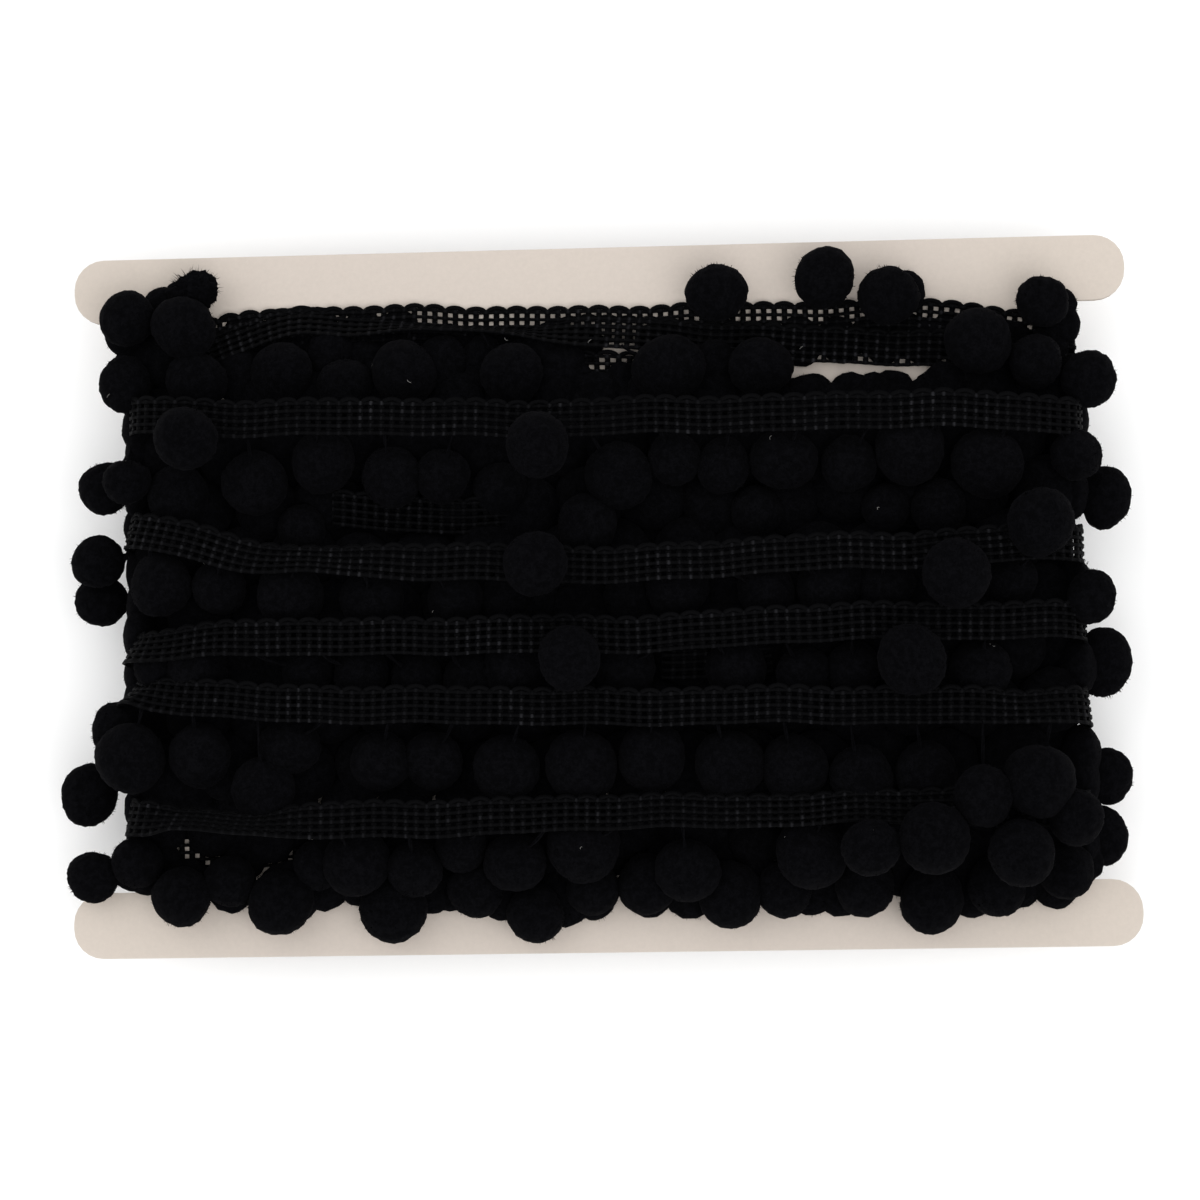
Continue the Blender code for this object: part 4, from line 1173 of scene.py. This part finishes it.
class FRINGE_OT_inner_winding(bpy.types.Operator):
    """Packs the pompoms of the inner winding round the card's waist, over its layers of tape"""

    bl_idname = "fringe.inner_winding"
    bl_label = "Inner winding"

    def execute(self, context):
        sizes = context.scene.fringe_pompom
        layout = Layout.get()
        rng = np.random.default_rng(SEED * 7)
        coarse = round_form(COARSE)
        heap = Heap()
        self.add_shown(heap, layout, sizes, rng)
        self.add_packed(heap, coarse, sizes, rng)
        for side, heights in SIDE_TUCKED.items():
            for y in heights:
                spot = (SHIFT + side * CORE_REACH, y, CARD_MID + rng.uniform(*SIDE_TUCKED_RISE))
                radii = np.array(SIDE_TUCKED_RADII) * rng.uniform(*SIDE_TUCKED_VARIES, 3)
                add_pompom(heap, coarse, Ball(spot, radii), sizes, rng, sizes.fibres // 2)
        for x, y, width in TUCKED:
            add_pressed(heap, coarse, (x, y), width, TUCKED_TALL, sizes, rng, sizes.fibres // 2)
        lay_in_frame(heap.build("inner_pompoms", finish_of(brushed_acrylic_yarn)), "inner_winding")
        self.add_bed(coarse, sizes, rng)
        self.add_layers()
        self.add_stretches(context.scene.fringe_tape)
        self.add_lint(layout, rng)
        return {"FINISHED"}

    def add_shown(self, heap, layout, sizes, rng):
        """The pompoms of the inner winding that have their own place in the solids."""
        fine = round_form(FINE)
        for k, pompom in enumerate(layout.pompoms):
            if pompom.kind == "inner":
                radii = layout.radii[k] * np.array((1.0, 1.0, SQUASH))
                ball = Ball(layout.spots[k] - (0.0, 0.0, INNER_SUNK), radii)
                add_pompom(heap, fine, ball, sizes, rng, sizes.fibres)

    def add_packed(self, heap, form, sizes, rng):
        """Pompoms packed all over the winding's front and back, each row set off from the next."""
        shape = np.array((INNER_WIDER, 1.0, INNER_PRESSED))
        for face in (-1, 1):
            proud = INNER_PROUD if face > 0 else 0.0
            z = CARD_MID + face * (CORE_RISE + proud - INNER_PRESSED * BALL_RADIUS)
            for row in range(INNER_ROWS):
                y = CORE_TOP - BALL_RADIUS + (CORE_FOOT - CORE_TOP + 2 * BALL_RADIUS) * row / (INNER_ROWS - 1)
                for column in range(INNER_COLUMNS):
                    share = (column + INNER_START + 0.5 * (row % 2)) / INNER_COLUMNS
                    x = SHIFT + (2 * share - 1) * (CORE_REACH - INNER_SHORT)
                    across, up = rng.uniform(-INNER_WANDER, INNER_WANDER, 2)
                    radii = BALL_RADIUS * rng.uniform(*INNER_VARIES) * shape
                    ball = Ball((x + across, y + up, z), radii)
                    add_pompom(heap, form, ball, sizes, rng, sizes.fibres // 8)

    def add_bed(self, form, sizes, rng):
        """Rows of pompoms pressed flat on the card under the upper and the lower turns."""
        heap = Heap()
        for row in (*TOP_BED_ROWS, *BED_ROWS):
            count = int((row.end - row.start) / (BED_PITCH * row.width))
            near = BED_NEAR * row.width
            for x in np.linspace(row.start, row.end, count):
                y = row.up
                if row in TOP_BED_ROWS:
                    y = float(smooth_between(x, KNOTS, TURNS[0].heights)) - row.up
                x, y = (x, y) + rng.uniform(-BED_WANDER, BED_WANDER, 2)
                if not any(
                    abs(x - bare.across) < bare.half_wide + near and abs(y - bare.up) < bare.half_tall + near
                    for bare in BARE
                ):
                    add_pressed(heap, form, (x, y), row.width, row.tall, sizes, rng, sizes.fibres // 20)
        lay_in_frame(heap.build("bed_pompoms", finish_of(brushed_acrylic_yarn)), "inner_winding")

    def add_layers(self):
        """The wound layers of tape under the pompoms, as one ribbed sleeve round the card."""
        angle = np.linspace(0, 2 * math.pi, LAYER_SIDES + 1)[:-1]
        across, lift = squared(np.cos(angle), CORE_SQUARE), squared(np.sin(angle), CORE_SQUARE)
        rows = np.linspace(CORE_TOP - LAYER_SHORT, CORE_FOOT + LAYER_SHORT, LAYER_ROWS)
        ribs = LAYER_RIB * np.abs(np.sin(2 * math.pi * (rows - CORE_TOP) / TAPE_WIDE))
        # Rings down the outside, then up the inside and back to the first.
        outside = [(SHIFT, CORE_REACH - LAYER_THIN + rib, CORE_RISE - LAYER_DEEP + rib, y)
                   for rib, y in zip(ribs, rows)]
        inside = [(0.0, WAIST_LENGTH / 2 + GAP, CARD_THICK / 2 + GAP, y) for y in rows[::-1]]
        rings = [
            np.stack([middle + far * across, np.full(LAYER_SIDES, y), CARD_MID + high * lift], axis=-1)
            for middle, far, high, y in (*outside, *inside)
        ]
        here = np.arange(LAYER_SIDES)
        after = (here + 1) % LAYER_SIDES
        ring = np.arange(len(rings))[:, None] * LAYER_SIDES
        below = (ring + LAYER_SIDES) % (len(rings) * LAYER_SIDES)
        faces = np.stack([ring + here, ring + after, below + after, below + here], axis=-1)
        heap = Heap()
        heap.add(np.concatenate(rings), faces.reshape(-1, 4))
        lay_in_frame(heap.build("inner_layers", finish_of(brushed_acrylic_yarn)), "inner_winding")

    def add_stretches(self, sizes):
        """The short stretches of lower tape that show between the turns."""
        beds = {"card": CARD_MID + CARD_RISE, "core": CARD_MID + CORE_RISE + INNER_PROUD}
        for number, (name, bed, marks) in enumerate(STRETCHES):
            line = StretchPath([(x, y, beds[bed]) for x, y, _ in marks])
            tape = Tape(line, [(x, roll) for x, _, roll in marks], len(TURNS) + number)
            heap = Heap()
            add_knit(heap, tape, 0.0, line.length, sizes)
            piece = heap.build(f"lower_tape_{name}", finish_of(knitted_polyester_yarn))
            lay_in_frame(piece, "inner_winding")

    def add_lint(self, layout, rng):
        """Short bent hairs on top of whatever lies highest at their places."""
        share = np.linspace(-0.5, 0.5, LINT_STEPS)[:, None]
        lines = []
        for x, y in LINT:
            top = self.top_at(x, y, layout)
            turn = rng.uniform(0, math.pi)
            long, bow = rng.uniform(*LINT_LONG), rng.uniform(*LINT_BOW)
            ahead = np.array([math.cos(turn), math.sin(turn), 0.0])
            side = np.array([-ahead[1], ahead[0], 0.0])
            curve = share * long * ahead + bow * (1 - 4 * share**2) * side
            lines.append(curve + np.array([x, y, top]))
        lines = np.array(lines)
        first = unit(np.cross(UP, np.gradient(lines, axis=1)))
        heap = Heap()
        thick = np.full(lines.shape[:2], LINT_RADIUS)
        add_strands(heap, lines, first, np.broadcast_to(UP, lines.shape), thick)
        lay_in_frame(heap.build("lint", finish_of(pale_lint)), "inner_winding")

    def top_at(self, x, y, layout):
        """Height of the uppermost pompom or of the inner winding at a place."""
        top = CARD_MID + CORE_RISE
        for spot, radius in zip(layout.spots, layout.radii):
            off = ((x - spot[0]) ** 2 + (y - spot[1]) ** 2) / radius**2
            if off < 1 and spot[2] > CARD_MID:
                top = max(top, spot[2] + SQUASH * radius * math.sqrt(1 - off) + LINT_OVER)
        return top


# ---------------------------------------------------------------- card


class FRINGE_OT_card(bpy.types.Operator):
    """Finishes the blank board card that the trim is wound on"""

    bl_idname = "fringe.card"
    bl_label = "Board card"

    def execute(self, context):
        card = frame["nodes"]["card"]
        for slot in card.material_slots:
            slot.link = "OBJECT"
            slot.material = finish_of(grey_white_board)
        return {"FINISHED"}


# ---------------------------------------------------------------- stage


Lamp = namedtuple("Lamp", "name place size watts")
LAMPS = (Lamp("key_softbox", (0.45, -0.5, 1.1), 1.2, 6.0), Lamp("fill_softbox", (-0.8, 0.5, 1.2), 1.4, 3.5))
SKY_STRENGTH = 1.06
AIM = (0.28, -0.83)  # where the camera looks on the card's face, across and up
SENSOR_WIDE = 36.0
CLIP_START = 0.01  # in metres


class FRINGE_OT_stage(bpy.types.Operator):
    """Lays the paper floor, hangs the soft lights and places the camera"""

    bl_idname = "fringe.stage"
    bl_label = "Floor, lights and camera"

    def execute(self, context):
        sizes = context.scene.fringe_stage
        self.lay_floor(sizes)
        for lamp in LAMPS:
            self.hang(lamp)
        self.place_camera(sizes)
        world = bpy.data.worlds.new("soft_room")
        world.use_nodes = True
        sky = world.node_tree.nodes["Background"]
        sky.inputs["Color"].default_value = (1.0, 1.0, 1.0, 1.0)
        sky.inputs["Strength"].default_value = SKY_STRENGTH
        context.scene.world = world
        context.scene.view_settings.view_transform = "Standard"
        return {"FINISHED"}

    def lay_floor(self, sizes):
        half = sizes.floor / 2
        corners = [(-half, -half, 0.0), (half, -half, 0.0), (half, half, 0.0), (-half, half, 0.0)]
        mesh = bpy.data.meshes.new("paper_floor")
        mesh.from_pydata(corners, [], [(0, 1, 2, 3)])
        mesh.materials.append(finish_of(matt_paper_backdrop))
        floor = bpy.data.objects.new("paper_floor", mesh)
        bpy.context.scene.collection.objects.link(floor)

    def hang(self, lamp):
        data = bpy.data.lights.new(lamp.name, "AREA")
        data.shape = "DISK"
        data.size = lamp.size
        data.energy = lamp.watts
        thing = bpy.data.objects.new(lamp.name, data)
        thing.location = lamp.place
        thing.rotation_euler = (-Vector(lamp.place)).to_track_quat("-Z", "Y").to_euler()
        bpy.context.scene.collection.objects.link(thing)

    def place_camera(self, sizes):
        az, el = sizes.azimuth, sizes.elevation
        back = Vector((math.sin(az) * math.cos(el), -math.cos(az) * math.cos(el), math.sin(el)))
        right = Vector((math.cos(az), math.sin(az), 0.0))
        up = back.cross(right)
        spun = Matrix.Rotation(sizes.spin, 3, back)
        right, up = spun @ right, spun @ up
        face = Vector((*AIM, CARD_FACE)) * MM
        camera = bpy.data.cameras.new("camera")
        camera.sensor_width = SENSOR_WIDE
        camera.lens = sizes.lens
        camera.clip_start = CLIP_START
        eye = bpy.data.objects.new("camera", camera)
        turn = Matrix((right, up, back)).transposed().to_4x4()
        turn.translation = face + back * sizes.distance
        eye.matrix_world = turn
        bpy.context.scene.collection.objects.link(eye)
        bpy.context.scene.camera = eye


# ---------------------------------------------------------------- add-on


STEPS = (
    FRINGE_OT_stage,
    FRINGE_OT_card,
    FRINGE_OT_tapes,
    FRINGE_OT_pompoms,
    FRINGE_OT_inner_winding,
)

GROUPS = {
    "fringe_colours": FringeColours,
    "fringe_tape": TapeSizes,
    "fringe_pompom": PompomSizes,
    "fringe_stage": StageSizes,
}


class FRINGE_PT_build(bpy.types.Panel):
    """Lists the steps that build the trim, and their settings"""

    bl_label = "Fringe trim"
    bl_idname = "FRINGE_PT_build"
    bl_space_type = "VIEW_3D"
    bl_region_type = "UI"
    bl_category = "Fringe trim"

    def draw(self, context):
        for step in STEPS:
            self.layout.operator(step.bl_idname)
        for name, group in GROUPS.items():
            box = self.layout.box()
            for setting in group.__annotations__:
                box.prop(getattr(context.scene, name), setting)


CLASSES = (*GROUPS.values(), *STEPS, FRINGE_PT_build)


def register():
    for item in CLASSES:
        bpy.utils.register_class(item)
    for name, group in GROUPS.items():
        setattr(bpy.types.Scene, name, PointerProperty(type=group))


def unregister():
    for name in GROUPS:
        delattr(bpy.types.Scene, name)
    for item in reversed(CLASSES):
        bpy.utils.unregister_class(item)


def main():
    register()
    bpy.ops.fringe.stage()
    bpy.ops.fringe.card()
    bpy.ops.fringe.tapes()
    bpy.ops.fringe.pompoms()
    bpy.ops.fringe.inner_winding()


if __name__ == "__main__":
    main()
